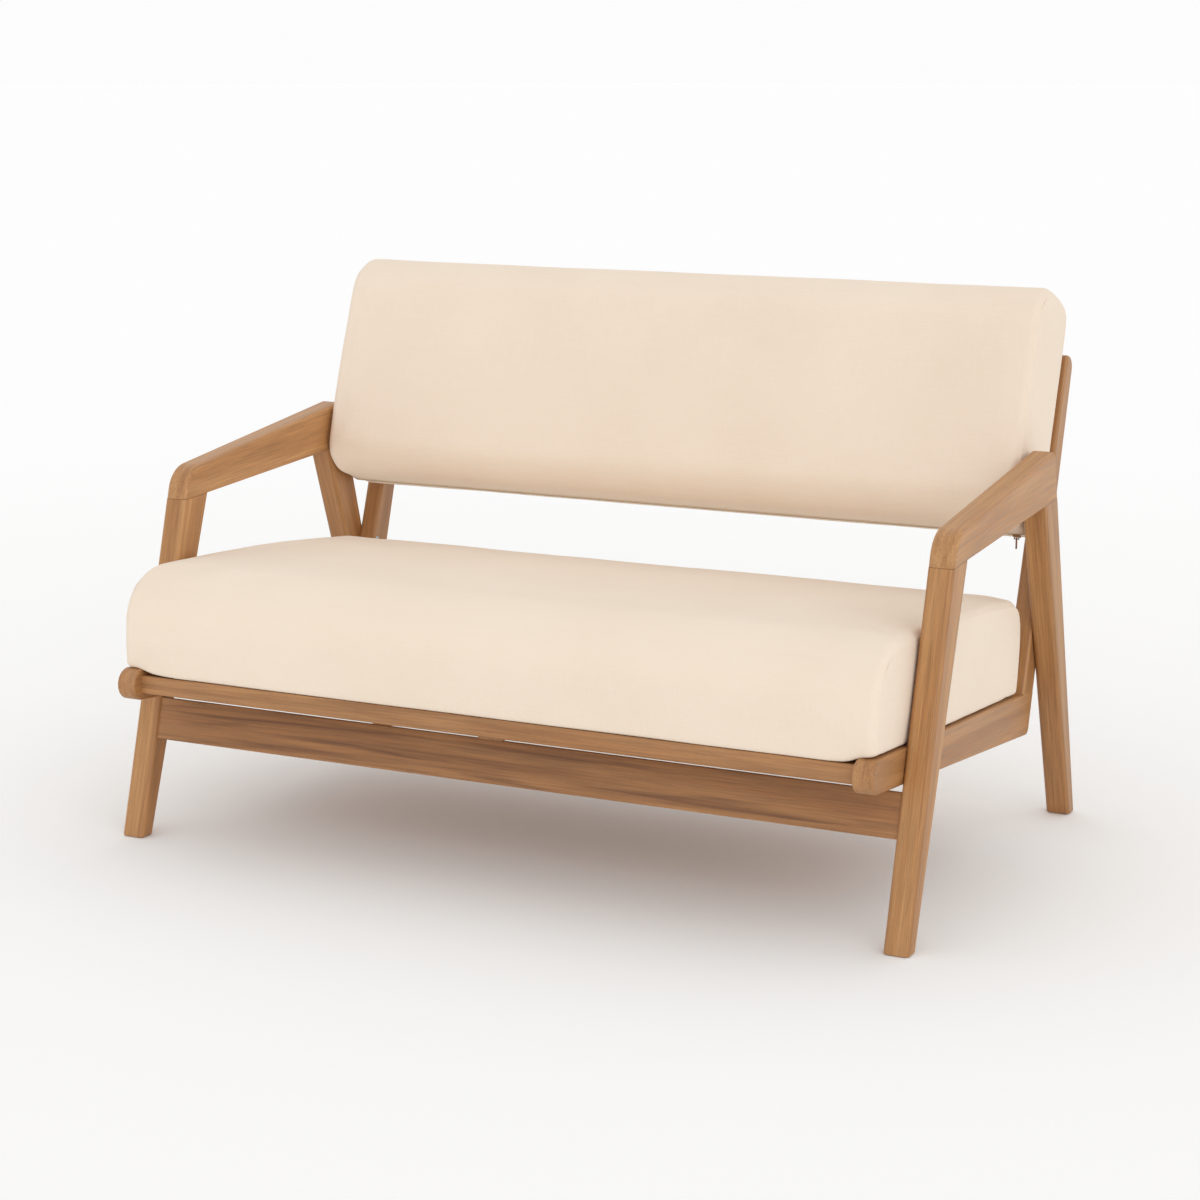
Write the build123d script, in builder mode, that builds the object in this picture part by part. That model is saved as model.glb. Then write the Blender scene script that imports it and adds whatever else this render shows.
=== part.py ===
from build123d import *
from math import acos, atan2, cos, hypot, radians, sin, tan
import os

# A two-seat garden sofa in hardwood: two raked side frames, a sloping seat frame hung between
# them, a leaning back frame, and a loose seat cushion and back cushion with zipped covers.
# Millimetres. +X runs along the width, the front faces -Y, +Z is up, and the origin is on the
# floor under the middle. Side views are drawn as (depth, height), with depth 0 at the toe of
# the front foot.

os.makedirs("parts", exist_ok=True)

# Overall sizes and timber stock
overall_width = 1320.0
foot_span = 804.0
side_stock = 39.0
rail_stock = 32.0

# Side frames: raked, tapered legs under a shaped armrest
leg_rake = 16.0
foot_depth = 31.0
leg_top_depth = 66.0
leg_edge_round = 7.0
foot_chamfer = 1.5
seam_chamfer = 0.7
arm_seam_front_height = 521.0
arm_seam_rear_height = 545.0
arm_front_depth = 48.0
arm_rear_depth = 76.0
arm_top_front_height = arm_seam_front_height + arm_front_depth
arm_top_rear_height = arm_seam_rear_height + arm_rear_depth
arm_nose_round = 48.0
arm_heel_round = 9.0
arm_edge_round = 8.0

# Loose dowels between legs and armrests
dowel_r = 5.0
dowel_length = 44.0
dowel_pitch = 30.0
dowel_end_gap = 1.0
dowel_fit = 0.05

# Foot glides, let into the feet
glide_r = 9.0
glide_thick = 5.0
glide_proud = 1.0
glide_fit = 0.1

# Front apron between the front legs
apron_low_height = 153.0
apron_width = 66.5
apron_thick = 20.0
apron_setback = 6.0
apron_edge_round = 2.0
apron_tenon_length = 18.0
apron_tenon_thick = 10.0
apron_tenon_shoulder = 13.0

# Seat frame, measured along the seat slope from the nose and square to it from the rail tops
seat_slope = 4.8
seat_front_depth = -48.0
seat_front_height = 287.8
rail_nose_round = 24.5
rail_rear_width = 71.0
rail_heel_round = 12.0
rail_edge_round = 4.0
front_rail_setback = 20.0
front_rail_depth = 45.0
front_rail_height = 28.0
cross_edge_round = 2.5
slat_recess = 10.0
rear_rail_depth = 32.0
rear_rail_height = 50.0
rear_rail_clear = 15.0
rail_tenon_length = 16.0
rail_tenon_thick = 14.0
rail_tenon_shoulder = 8.0
bearer_width = 40.0
bearer_height = 25.0
bearer_tenon_length = 12.0
bearer_tenon_thick = 9.0
bearer_tenon_shoulder = 8.0
bearer_tenon_drop = 2.0
slat_count = 8
slat_width = 52.0
slat_thick = 15.0
slat_end_gap = 1.0
slat_edge_round = 2.0
cleat_width = 18.0
cleat_height = 20.0
cleat_end_gap = 1.0
tenon_fit = 0.1

# Back frame: leaning posts that stand on the side rails, with three back rails
post_crossing_height = 405.8
post_lean = 19.3
post_base_depth = 54.0
post_top_depth = 36.0
post_height = 746.0
post_rear_round = 21.0
post_front_round = 5.0
post_edge_round = 5.0
post_tenon_length = 30.0
post_tenon_depth = 34.0
post_tenon_thick = 12.0
back_rail_starts = (262.0, 360.0, 458.0)
back_rail_width = 60.0
back_rail_thick = 20.0
back_rail_tenon_length = 18.0
back_rail_tenon_thick = 10.0
back_rail_tenon_shoulder = 8.0
back_rail_round = 4.0

# Flat-headed furniture bolts in threaded inserts
bolt_r = 3.0
bolt_head_r = 5.2
bolt_head_height = 2.6
bolt_bite = 11.0
bolt_hole_r = 3.3
recess_r = 5.8
recess_depth = 2.2
insert_r = 4.9
insert_length = 14.0
insert_sink = 0.8
insert_fit = 0.05
insert_end_gap = 1.0
thread_fit = 0.05
post_bolt_shares = (0.335, 0.795)
rail_bolt_pitch = 20.0

# Cushions: covers over foam cores
soft_gap = 0.3
cover_wall = 1.5
core_gap = 0.3
cushion_side_gap = 4.0
seat_cushion_front = 15.5
seat_cushion_rear_gap = 12.0
seat_cushion_thick = 164.4
seat_cushion_rounds = (6.0, 6.0, 58.0, 88.0)
seat_cushion_bows = (0.0, 9.7, 9.7, 6.0)
belly_side_gap = 3.0
belly_front = 14.0
belly_rear_inset = 10.0
belly_overlap = 30.0
belly_corner_round = 20.0
back_cushion_low = 243.5
back_cushion_high = 621.0
back_cushion_thick = 174.0
back_cushion_rounds = (12.0, 12.0, 62.0, 55.0)
back_cushion_bows = (0.0, 9.0, 5.6, 0.0)
cushion_edge_round = 12.0
cushion_edge_steps = 3
cushion_least_round = 1.0

# Zips: tape and coil, slider and pull
tape_width = 12.0
tape_thick = 0.8
coil_width = 5.0
coil_height = 2.2
zip_rise = 40.0
back_zip_inset = 65.0
back_zip_end_inset = 14.0
seat_zip_end_inset = 42.0
slider_length = 11.0
slider_width = 9.0
slider_height = 3.4
slider_gap = 0.3
bridge_r = 0.8
bridge_span = 7.0
bridge_lift = 3.0
pull_length = 17.0
pull_width = 5.0
pull_thick = 1.4
pull_eye_r = 2.4
pull_fit = 0.1
slider_end_gap = 1.0

# Webbing straps that hang the back cushion on the top back rail
strap_places = (-400.0, 0.0, 400.0)
strap_width = 50.0
strap_thick = 2.4
strap_drop = 74.0
strap_sewn_length = 34.0

# Long enough to cut through whatever it meets
overrun = 5.0

# Worked out from the sizes above
half_width = overall_width / 2
leg_inner = half_width - side_stock
rail_inner = leg_inner - rail_stock
cleat_inner = rail_inner - cleat_width
slope_cos = cos(radians(seat_slope))
slope_sin = sin(radians(seat_slope))
lean_cos = cos(radians(post_lean))
lean_sin = sin(radians(post_lean))
rake_lean = tan(radians(leg_rake))


# The posts stand where their fronts pass the backs of the rear legs at the crossing height
crossing_depth = foot_span - post_crossing_height * rake_lean - seat_front_depth
crossing_lift = post_crossing_height - seat_front_height
lean_run = lean_sin / lean_cos
post_setback = (crossing_depth - crossing_lift * lean_run) / (slope_cos + slope_sin * lean_run)
cushion_half_width = leg_inner - cushion_side_gap
seat_cushion_rear = post_setback - seat_cushion_rear_gap


def seat_point(reach, lift):
    """Side-view point that lies reach along the seat slope and lift square to it."""
    return (
        seat_front_depth + reach * slope_cos + lift * slope_sin,
        seat_front_height - reach * slope_sin + lift * slope_cos,
    )


def back_point(rise, proud):
    """Side-view point that lies rise up the posts' front face and proud in front of it."""
    foot_y, foot_z = seat_point(post_setback, 0)
    return (
        foot_y + rise * lean_sin - proud * lean_cos,
        foot_z + rise * lean_cos + proud * lean_sin,
    )


def front_edge(height):
    return (height * rake_lean, height)


def rear_edge(height):
    return (foot_span - height * rake_lean, height)


def toward(start, end, distance):
    """The point that lies distance from start on the way to end."""
    share = distance / hypot(end[0] - start[0], end[1] - start[1])
    return (start[0] + (end[0] - start[0]) * share, start[1] + (end[1] - start[1]) * share)


def depth_at(start, end, height):
    """Where the line through two side-view points passes a height."""
    return start[0] + (end[0] - start[0]) * (height - start[1]) / (end[1] - start[1])


def tangent_from(point, centre, radius):
    """Lower tangent point on a circle for a line from a point behind it."""
    reach = hypot(point[0] - centre[0], point[1] - centre[1])
    turn = atan2(point[1] - centre[1], point[0] - centre[0]) - acos(radius / reach)
    return (centre[0] + radius * cos(turn), centre[1] + radius * sin(turn))


# Corners of the side view
arm_front_low = front_edge(arm_seam_front_height)
arm_front_high = front_edge(arm_top_front_height)
arm_rear_low = rear_edge(arm_seam_rear_height)
arm_rear_high = rear_edge(arm_top_rear_height)
front_toe = front_edge(glide_proud)
front_heel = (front_toe[0] + foot_depth, glide_proud)
front_leg_top = toward(arm_front_low, arm_rear_low, leg_top_depth)
rear_heel = rear_edge(glide_proud)
rear_toe = (rear_heel[0] - foot_depth, glide_proud)
rear_leg_top = toward(arm_rear_low, arm_front_low, leg_top_depth)

post_foot_front = seat_point(post_setback, 0)
post_foot_rear = seat_point(post_setback + post_base_depth, 0)
post_top_front = back_point((post_height - post_foot_front[1]) / lean_cos, 0)
post_top_rear = (post_top_front[0] + post_top_depth, post_height)
rail_heel = toward(post_foot_rear, post_top_rear, -rail_rear_width)
nose_centre = seat_point(rail_nose_round, -rail_nose_round)
nose_high = seat_point(rail_nose_round, 0)
nose_tip = seat_point(0, -rail_nose_round)
nose_low = tangent_from(rail_heel, nose_centre, rail_nose_round)

# The box runs from the rails' noses to the rounded heads of the posts
post_rear_lean = atan2(post_top_rear[0] - post_foot_rear[0], post_height - post_foot_rear[1])
post_crown_height = post_height - post_rear_round
rear_reach = (
    depth_at(post_foot_rear, post_top_rear, post_crown_height)
    - post_rear_round / cos(post_rear_lean)
    + post_rear_round
)
front_reach = nose_centre[0] - rail_nose_round
mid_depth = (front_reach + rear_reach) / 2


def side_plane(x):
    """Side-view sketches: local X is depth, local Y is height, extruding toward +X."""
    return Plane(origin=(x, -mid_depth, 0), x_dir=(0, 1, 0), z_dir=(1, 0, 0))


def sloped_plane(point, up_y, up_z):
    """A sketch plane along the width through a side-view point, with the given normal."""
    return Plane(
        origin=(0, point[0] - mid_depth, point[1]), x_dir=(1, 0, 0), z_dir=(0, up_y, up_z)
    )


# Plan views of the seat frame, and front views of the back frame and the apron
seat_plane = sloped_plane(seat_point(0, 0), slope_sin, slope_cos)
back_plane = sloped_plane(post_foot_front, -lean_cos, lean_sin)
apron_foot = (apron_low_height * rake_lean + apron_setback, apron_low_height)
apron_plane = sloped_plane(apron_foot, -cos(radians(leg_rake)), sin(radians(leg_rake)))


def plate(plane, low_x, high_x, low_y, high_y):
    """A rectangle between two corners of a plane, as a sketch."""
    with BuildSketch(plane) as sketch:
        with Locations(((low_x + high_x) / 2, (low_y + high_y) / 2)):
            Rectangle(high_x - low_x, high_y - low_y)
    return sketch.sketch


def outline(plane, points):
    """A closed outline of straight runs on a plane, as a sketch."""
    with BuildSketch(plane) as sketch:
        with BuildLine():
            Polyline(*points, close=True)
        make_face()
    return sketch.sketch


def keep(piece, name):
    piece.label = name
    export_step(piece, f"parts/{name}.step")


def stand(side, inner, thick):
    """Lower X of a piece of some thickness whose inner face is at a distance from the middle."""
    return inner if side > 0 else -inner - thick


sides = {"left": -1, "right": 1}

# Places of the dowels, bolts and inserts
seam_turn = atan2(arm_rear_low[1] - arm_front_low[1], arm_rear_low[0] - arm_front_low[0])
front_seam_middle = toward(arm_front_low, front_leg_top, leg_top_depth / 2)
rear_seam_middle = toward(arm_rear_low, rear_leg_top, leg_top_depth / 2)
arm_middle = half_width - side_stock / 2


def seam_plane(side, middle):
    """The joint face between a leg and its armrest, centred on the leg's top."""
    return Plane(
        origin=(side * arm_middle, middle[0] - mid_depth, middle[1]),
        x_dir=(1, 0, 0),
        z_dir=(0, -sin(seam_turn), cos(seam_turn)),
    )


def dowel_holes(side, middle, way):
    """Cutters for the dowel holes on one side of a joint face."""
    with BuildPart() as cutter:
        with BuildSketch(seam_plane(side, middle)):
            with GridLocations(0, dowel_pitch, 1, 2):
                Circle(dowel_r + dowel_fit)
        extrude(amount=way * (dowel_length / 2 + dowel_end_gap))
    return cutter.part


cleat_middle_drop = slat_recess + slat_thick + cleat_height / 2
rail_bolt_height = seat_point(0, -cleat_middle_drop)[1]


def rail_bolt_reach():
    """How far along the seat slope the middle of the front leg crosses the cleat."""
    low, high = seat_point(0, -cleat_middle_drop), seat_point(post_setback, -cleat_middle_drop)
    leg_low = toward(front_toe, front_heel, foot_depth / 2)
    leg_high = front_seam_middle
    run = (leg_high[0] - leg_low[0]) / (leg_high[1] - leg_low[1])
    fall = (high[1] - low[1]) / (high[0] - low[0])
    depth = (leg_low[0] + run * (low[1] - fall * low[0] - leg_low[1])) / (1 - run * fall)
    return (depth - low[0]) / slope_cos


rail_bolt_places = [
    seat_point(rail_bolt_reach() + shift * rail_bolt_pitch, -cleat_middle_drop)
    for shift in (-0.5, 0.5)
]


def post_bolt_place(height):
    """The middle of the patch where the post and the rear leg lie side by side."""
    front = max(
        depth_at(post_foot_front, post_top_front, height), depth_at(rear_toe, rear_leg_top, height)
    )
    rear = min(
        depth_at(post_foot_rear, post_top_rear, height), depth_at(rear_heel, arm_rear_low, height)
    )
    return ((front + rear) / 2, height)


post_bolt_places = [
    post_bolt_place(post_foot_front[1] + share * (post_crossing_height - post_foot_front[1]))
    for share in post_bolt_shares
]


def rounds(x, places, radius, start, end):
    """Round cutters or bars along X, between two distances from a plane at x."""
    with BuildPart() as bars:
        with BuildSketch(side_plane(x).offset(start)):
            with Locations(*places):
                Circle(radius)
        extrude(amount=end - start)
    return bars.part


# Armrests, each one board shaped to a rounded nose
def make_armrest(side):
    with BuildPart() as armrest:
        with BuildSketch(side_plane(stand(side, leg_inner, side_stock))) as profile:
            with BuildLine():
                Polyline(arm_front_low, arm_front_high, arm_rear_high, arm_rear_low, close=True)
            make_face()
            fillet(profile.vertices().sort_by_distance(arm_front_high)[0], arm_nose_round)
            fillet(profile.vertices().sort_by_distance(arm_rear_high)[0], arm_heel_round)
        extrude(amount=side_stock)
        cheeks = armrest.faces().filter_by(Axis.X)
        underside = seam_plane(side, front_seam_middle)
        fillet(cheeks.edges() - armrest.faces().filter_by(underside).edges(), arm_edge_round)
        chamfer(armrest.faces().filter_by(underside).edges(), seam_chamfer)
        add(dowel_holes(side, front_seam_middle, 1), mode=Mode.SUBTRACT)
        add(dowel_holes(side, rear_seam_middle, 1), mode=Mode.SUBTRACT)
    return armrest.part


for side_name, side in sides.items():
    keep(make_armrest(side), f"{side_name}_armrest")


# Legs, tapered toward the floor
def make_leg(side, corners, seam_middle):
    with BuildPart() as leg:
        extrude(
            outline(side_plane(stand(side, leg_inner, side_stock)), corners),
            amount=side_stock,
        )
        seam = seam_plane(side, seam_middle)
        end_edges = leg.faces().filter_by(Plane.XY).edges() + leg.faces().filter_by(seam).edges()
        fillet(leg.edges().filter_by(Axis.X, reverse=True) - end_edges, leg_edge_round)
        chamfer(leg.faces().filter_by(Plane.XY).edges(), foot_chamfer)
        chamfer(leg.faces().filter_by(seam).edges(), seam_chamfer)
        add(dowel_holes(side, seam_middle, -1), mode=Mode.SUBTRACT)
        foot_middle = (corners[0][0] + corners[1][0]) / 2 - mid_depth
        with BuildSketch(Plane.XY.offset(glide_proud)):
            with Locations((side * arm_middle, foot_middle)):
                Circle(glide_r + glide_fit)
        extrude(amount=glide_thick - glide_proud, mode=Mode.SUBTRACT)
    return leg.part


def insert_holes(side, places):
    start, end = 0, insert_sink + insert_length + insert_end_gap
    if side < 0:
        start, end = -end, 0
    return rounds(side * leg_inner, places, insert_r + insert_fit, start, end)


def apron_tenons(side, fit):
    """The tenon on one end of the apron, or with a fit the mortise for it."""
    reach = leg_inner + apron_tenon_length + fit
    low_x, high_x = sorted((side * (leg_inner - fit), side * reach))
    low_y, high_y = apron_tenon_shoulder - fit, apron_width - apron_tenon_shoulder + fit
    start = -(apron_thick + apron_tenon_thick) / 2 - fit
    with BuildPart() as tenon:
        extrude(
            plate(apron_plane.offset(start), low_x, high_x, low_y, high_y),
            amount=apron_tenon_thick + fit + fit,
        )
    return tenon.part


front_leg_corners = (front_toe, front_heel, front_leg_top, arm_front_low)
rear_leg_corners = (rear_toe, rear_heel, arm_rear_low, rear_leg_top)

for side_name, side in sides.items():
    with BuildPart() as front_leg:
        add(make_leg(side, front_leg_corners, front_seam_middle))
        add(insert_holes(side, rail_bolt_places), mode=Mode.SUBTRACT)
        add(apron_tenons(side, tenon_fit), mode=Mode.SUBTRACT)
    keep(front_leg.part, f"{side_name}_front_leg")
    with BuildPart() as rear_leg:
        add(make_leg(side, rear_leg_corners, rear_seam_middle))
        add(insert_holes(side, post_bolt_places), mode=Mode.SUBTRACT)
    keep(rear_leg.part, f"{side_name}_rear_leg")

# Dowels, half in each leg and half in its armrest
with BuildPart() as dowels:
    for side in sides.values():
        for middle in (front_seam_middle, rear_seam_middle):
            joint = seam_plane(side, middle)
            with BuildSketch(joint.offset(-dowel_length / 2)):
                with GridLocations(0, dowel_pitch, 1, 2):
                    Circle(dowel_r)
    extrude(amount=dowel_length)
keep(dowels.part, "armrest_dowels")

# Glides under the feet
with BuildPart() as glides:
    with BuildSketch(Plane.XY):
        for side in sides.values():
            for foot in (front_toe[0] + foot_depth / 2, rear_heel[0] - foot_depth / 2):
                with Locations((side * arm_middle, foot - mid_depth)):
                    Circle(glide_r)
    extrude(amount=glide_thick)
keep(glides.part, "foot_glides")

# Front apron, set back from the legs' front faces and raked with them
with BuildPart() as apron:
    extrude(plate(apron_plane, -leg_inner, leg_inner, 0, apron_width), amount=-apron_thick)
    fillet(apron.edges().filter_by(Axis.X), apron_edge_round)
    for side in sides.values():
        add(apron_tenons(side, 0))
keep(apron.part, "front_apron")


# Tenons of the two seat cross rails, and with a fit their mortises in the side rails
def cross_tenon(side, low_reach, high_reach, low_lift, high_lift, fit):
    reach = rail_inner + rail_tenon_length + fit
    low_x, high_x = sorted((side * (rail_inner - fit), side * reach))
    with BuildPart() as tenon:
        extrude(
            plate(seat_plane.offset(low_lift - fit), low_x, high_x, low_reach - fit, high_reach + fit),
            amount=high_lift - low_lift + fit + fit,
        )
    return tenon.part


front_rail_front = front_rail_setback
front_rail_rear = front_rail_setback + front_rail_depth
front_rail_top = -slat_recess
front_rail_low = front_rail_top - front_rail_height
rear_rail_rear = post_setback - rear_rail_clear
rear_rail_front = rear_rail_rear - rear_rail_depth
rear_rail_low = front_rail_top - rear_rail_height

front_tenon = (
    front_rail_front + rail_tenon_shoulder,
    front_rail_rear - rail_tenon_shoulder,
    front_rail_top - (front_rail_height + rail_tenon_thick) / 2,
    front_rail_top - (front_rail_height - rail_tenon_thick) / 2,
)
rear_tenon = (
    rear_rail_rear - (rear_rail_depth + rail_tenon_thick) / 2,
    rear_rail_rear - (rear_rail_depth - rail_tenon_thick) / 2,
    rear_rail_low + rail_tenon_shoulder,
    front_rail_top - rail_tenon_shoulder,
)


def bearer_tenon(reach, way, fit):
    """The bearer's tenon into a cross rail's face, or with a fit its mortise."""
    low_reach, high_reach = sorted((reach - way * fit, reach + way * (bearer_tenon_length + fit)))
    half = bearer_width / 2 - bearer_tenon_shoulder + fit
    top = -slat_recess - slat_thick - bearer_tenon_drop + fit
    with BuildPart() as tenon:
        extrude(
            plate(seat_plane.offset(top), -half, half, low_reach, high_reach),
            amount=-bearer_tenon_thick - fit - fit,
        )
    return tenon.part


# The post's tenon, sunk square into the top of its side rail
post_middle = post_setback + post_base_depth / 2


def post_tenon(side, fit):
    middle = side * (rail_inner + rail_stock / 2)
    half = post_tenon_thick / 2 + fit
    low_reach = post_middle - post_tenon_depth / 2 - fit
    high_reach = post_middle + post_tenon_depth / 2 + fit
    with BuildPart() as tenon:
        extrude(
            plate(seat_plane, middle - half, middle + half, low_reach, high_reach),
            amount=-post_tenon_length - fit,
        )
    return tenon.part


# Side rails with a full round nose, a straight taper to the rear and a flat for the post
rail_pad = (
    seat_point(post_setback, 0),
    seat_point(post_setback, -rail_edge_round),
    seat_point(post_setback + post_base_depth - post_edge_round, -rail_edge_round),
    seat_point(post_setback + post_base_depth - post_edge_round, 0),
)

for side_name, side in sides.items():
    with BuildPart() as side_rail:
        with BuildSketch(side_plane(stand(side, rail_inner, rail_stock))) as profile:
            with BuildLine():
                ThreePointArc(nose_high, nose_tip, nose_low)
                Polyline(nose_low, rail_heel, post_foot_rear, nose_high)
            make_face()
            fillet(profile.vertices().sort_by_distance(rail_heel)[0], rail_heel_round)
        extrude(amount=rail_stock)
        fillet(side_rail.faces().filter_by(Axis.X).edges(), rail_edge_round)
        extrude(
            outline(side_plane(stand(side, rail_inner, rail_stock)), rail_pad),
            amount=rail_stock,
        )
        add(cross_tenon(side, *front_tenon, tenon_fit), mode=Mode.SUBTRACT)
        add(cross_tenon(side, *rear_tenon, tenon_fit), mode=Mode.SUBTRACT)
        add(post_tenon(side, tenon_fit), mode=Mode.SUBTRACT)
        low_x = stand(side, rail_inner, rail_stock)
        add(
            rounds(low_x, rail_bolt_places, bolt_hole_r, -overrun, rail_stock + overrun),
            mode=Mode.SUBTRACT,
        )
    keep(side_rail.part, f"{side_name}_seat_side_rail")

with BuildPart() as front_rail:
    extrude(
        plate(
            seat_plane.offset(front_rail_low),
            -rail_inner,
            rail_inner,
            front_rail_front,
            front_rail_rear,
        ),
        amount=front_rail_height,
    )
    fillet(front_rail.edges().filter_by(Axis.X), cross_edge_round)
    for side in sides.values():
        add(cross_tenon(side, *front_tenon, 0))
    add(bearer_tenon(front_rail_rear, -1, tenon_fit), mode=Mode.SUBTRACT)
keep(front_rail.part, "front_seat_rail")

with BuildPart() as rear_rail:
    extrude(
        plate(
            seat_plane.offset(rear_rail_low),
            -rail_inner,
            rail_inner,
            rear_rail_front,
            rear_rail_rear,
        ),
        amount=rear_rail_height,
    )
    fillet(rear_rail.edges().filter_by(Axis.X), cross_edge_round)
    for side in sides.values():
        add(cross_tenon(side, *rear_tenon, 0))
    add(bearer_tenon(rear_rail_front, 1, tenon_fit), mode=Mode.SUBTRACT)
keep(rear_rail.part, "rear_seat_rail")

# Seat slats across the width, on cleats at their ends and a bearer at the middle
slat_top = -slat_recess
slat_low = slat_top - slat_thick
slat_gap = (rear_rail_front - front_rail_rear - slat_count * slat_width) / (slat_count + 1)
slat_middles = [
    front_rail_rear + slat_gap + slat_width / 2 + number * (slat_width + slat_gap)
    for number in range(slat_count)
]

for number, middle in enumerate(slat_middles, start=1):
    with BuildPart() as slat:
        extrude(
            plate(
                seat_plane.offset(slat_low),
                slat_end_gap - rail_inner,
                rail_inner - slat_end_gap,
                middle - slat_width / 2,
                middle + slat_width / 2,
            ),
            amount=slat_thick,
        )
        fillet(slat.edges().filter_by(Axis.X).group_by(Axis.Z)[-1], slat_edge_round)
    keep(slat.part, f"seat_slat_{number}")

for side_name, side in sides.items():
    low_x, high_x = sorted((side * cleat_inner, side * rail_inner))
    with BuildPart() as cleat:
        extrude(
            plate(
                seat_plane.offset(slat_low),
                low_x,
                high_x,
                front_rail_rear + cleat_end_gap,
                rear_rail_front - cleat_end_gap,
            ),
            amount=-cleat_height,
        )
        add(
            rounds(low_x, rail_bolt_places, bolt_hole_r, -overrun, cleat_width + overrun),
            mode=Mode.SUBTRACT,
        )
    keep(cleat.part, f"{side_name}_seat_cleat")

with BuildPart() as bearer:
    extrude(
        plate(
            seat_plane.offset(slat_low),
            -bearer_width / 2,
            bearer_width / 2,
            front_rail_rear,
            rear_rail_front,
        ),
        amount=-bearer_height,
    )
    fillet(bearer.edges().filter_by(GeomType.LINE).group_by(Axis.Z)[0], cross_edge_round)
    add(bearer_tenon(front_rail_rear, -1, 0))
    add(bearer_tenon(rear_rail_front, 1, 0))
keep(bearer.part, "seat_centre_bearer")


# Tenons of the back rails, or with a fit their mortises in the posts
def back_tenon(side, start, fit):
    reach = rail_inner + back_rail_tenon_length + fit
    low_x, high_x = sorted((side * (rail_inner - fit), side * reach))
    low_y = start + back_rail_tenon_shoulder - fit
    high_y = start + back_rail_width - back_rail_tenon_shoulder + fit
    depth = -(back_rail_thick - back_rail_tenon_thick) / 2 + fit
    with BuildPart() as tenon:
        extrude(
            plate(back_plane.offset(depth), low_x, high_x, low_y, high_y),
            amount=-back_rail_tenon_thick - fit - fit,
        )
    return tenon.part


# Back posts, tapered to a rounded head, bolted to the rear legs where they cross
for side_name, side in sides.items():
    inner_x = side * rail_inner
    with BuildPart() as post:
        with BuildSketch(side_plane(stand(side, rail_inner, rail_stock))) as profile:
            with BuildLine():
                Polyline(post_foot_front, post_foot_rear, post_top_rear, post_top_front, close=True)
            make_face()
            fillet(profile.vertices().sort_by_distance(post_top_rear)[0], post_rear_round)
            fillet(profile.vertices().sort_by_distance(post_top_front)[0], post_front_round)
        extrude(amount=rail_stock)
        foot = post.faces().filter_by(GeomType.PLANE).sort_by(Axis.Z)[0]
        fillet(post.faces().filter_by(Axis.X).edges() - foot.edges(), post_edge_round)
        add(post_tenon(side, 0))
        for start in back_rail_starts:
            add(back_tenon(side, start, tenon_fit), mode=Mode.SUBTRACT)
        low, high = sorted((-side * overrun, side * recess_depth))
        add(rounds(inner_x, post_bolt_places, recess_r, low, high), mode=Mode.SUBTRACT)
        low, high = sorted((-side * overrun, side * (rail_stock + overrun)))
        add(rounds(inner_x, post_bolt_places, bolt_hole_r, low, high), mode=Mode.SUBTRACT)
    keep(post.part, f"{side_name}_back_post")

for name, start in zip(("lower", "middle", "upper"), back_rail_starts):
    with BuildPart() as back_rail:
        extrude(
            plate(back_plane, -rail_inner, rail_inner, start, start + back_rail_width),
            amount=-back_rail_thick,
        )
        fillet(back_rail.edges().filter_by(Axis.X), back_rail_round)
        for side in sides.values():
            add(back_tenon(side, start, 0))
    keep(back_rail.part, f"{name}_back_rail")


# Bolts and their inserts share a place, a head end and a length of timber to pass
def bolt_set(side, seat_x, places, grip):
    """Bolts whose heads lie on a face at seat_x, with grip from there to the leg."""
    length = grip + insert_sink + bolt_bite
    with BuildPart() as bolts:
        add(rounds(seat_x, places, bolt_r, *sorted((0, side * length))))
        add(rounds(seat_x, places, bolt_head_r, *sorted((0, -side * bolt_head_height))))
    insert_x = side * (leg_inner + insert_sink)
    with BuildPart() as inserts:
        add(rounds(insert_x, places, insert_r, *sorted((0, side * insert_length))))
        low, high = sorted((-side * overrun, side * (insert_length + overrun)))
        add(rounds(insert_x, places, bolt_r + thread_fit, low, high), mode=Mode.SUBTRACT)
    return bolts.part, inserts.part


post_sets = [
    bolt_set(side, side * (rail_inner + recess_depth), post_bolt_places, rail_stock - recess_depth)
    for side in sides.values()
]
rail_sets = [
    bolt_set(side, side * cleat_inner, rail_bolt_places, cleat_width + rail_stock)
    for side in sides.values()
]
for group, sets in (("post", post_sets), ("seat_rail", rail_sets)):
    for kind, pair in zip(("bolts", "inserts"), zip(*sets)):
        with BuildPart() as fasteners:
            for piece in pair:
                add(piece)
        keep(fasteners.part, f"{group}_{kind}")


# Cushions: rounded rectangles lofted through the thickness, drawn in toward both faces
def panel_edge(start, end, bow):
    """One side of a cushion's section, bowed outward, or straight where it rests."""
    if bow:
        SagittaArc(start, end, -bow)
    else:
        Line(start, end)


def cushion_section(plane, size, corner_rounds, bows, inset):
    """A cushion's section, from its resting side round by its far side, drawn in by an inset."""
    low, high, thick = size
    ceiling = thick - bows[2] - inset
    corners = (
        (low + inset, inset),
        (high - inset, inset),
        (high - inset, ceiling),
        (low + inset, ceiling),
    )
    with BuildSketch(plane) as section:
        with BuildLine():
            for index, bow in enumerate(bows):
                panel_edge(corners[index], corners[(index + 1) % len(corners)], bow)
        make_face()
        for corner, corner_round in zip(corners, corner_rounds):
            vertex = section.vertices().sort_by_distance(corner)[0]
            fillet(vertex, max(corner_round - inset, cushion_least_round))
    return section.sketch


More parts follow.
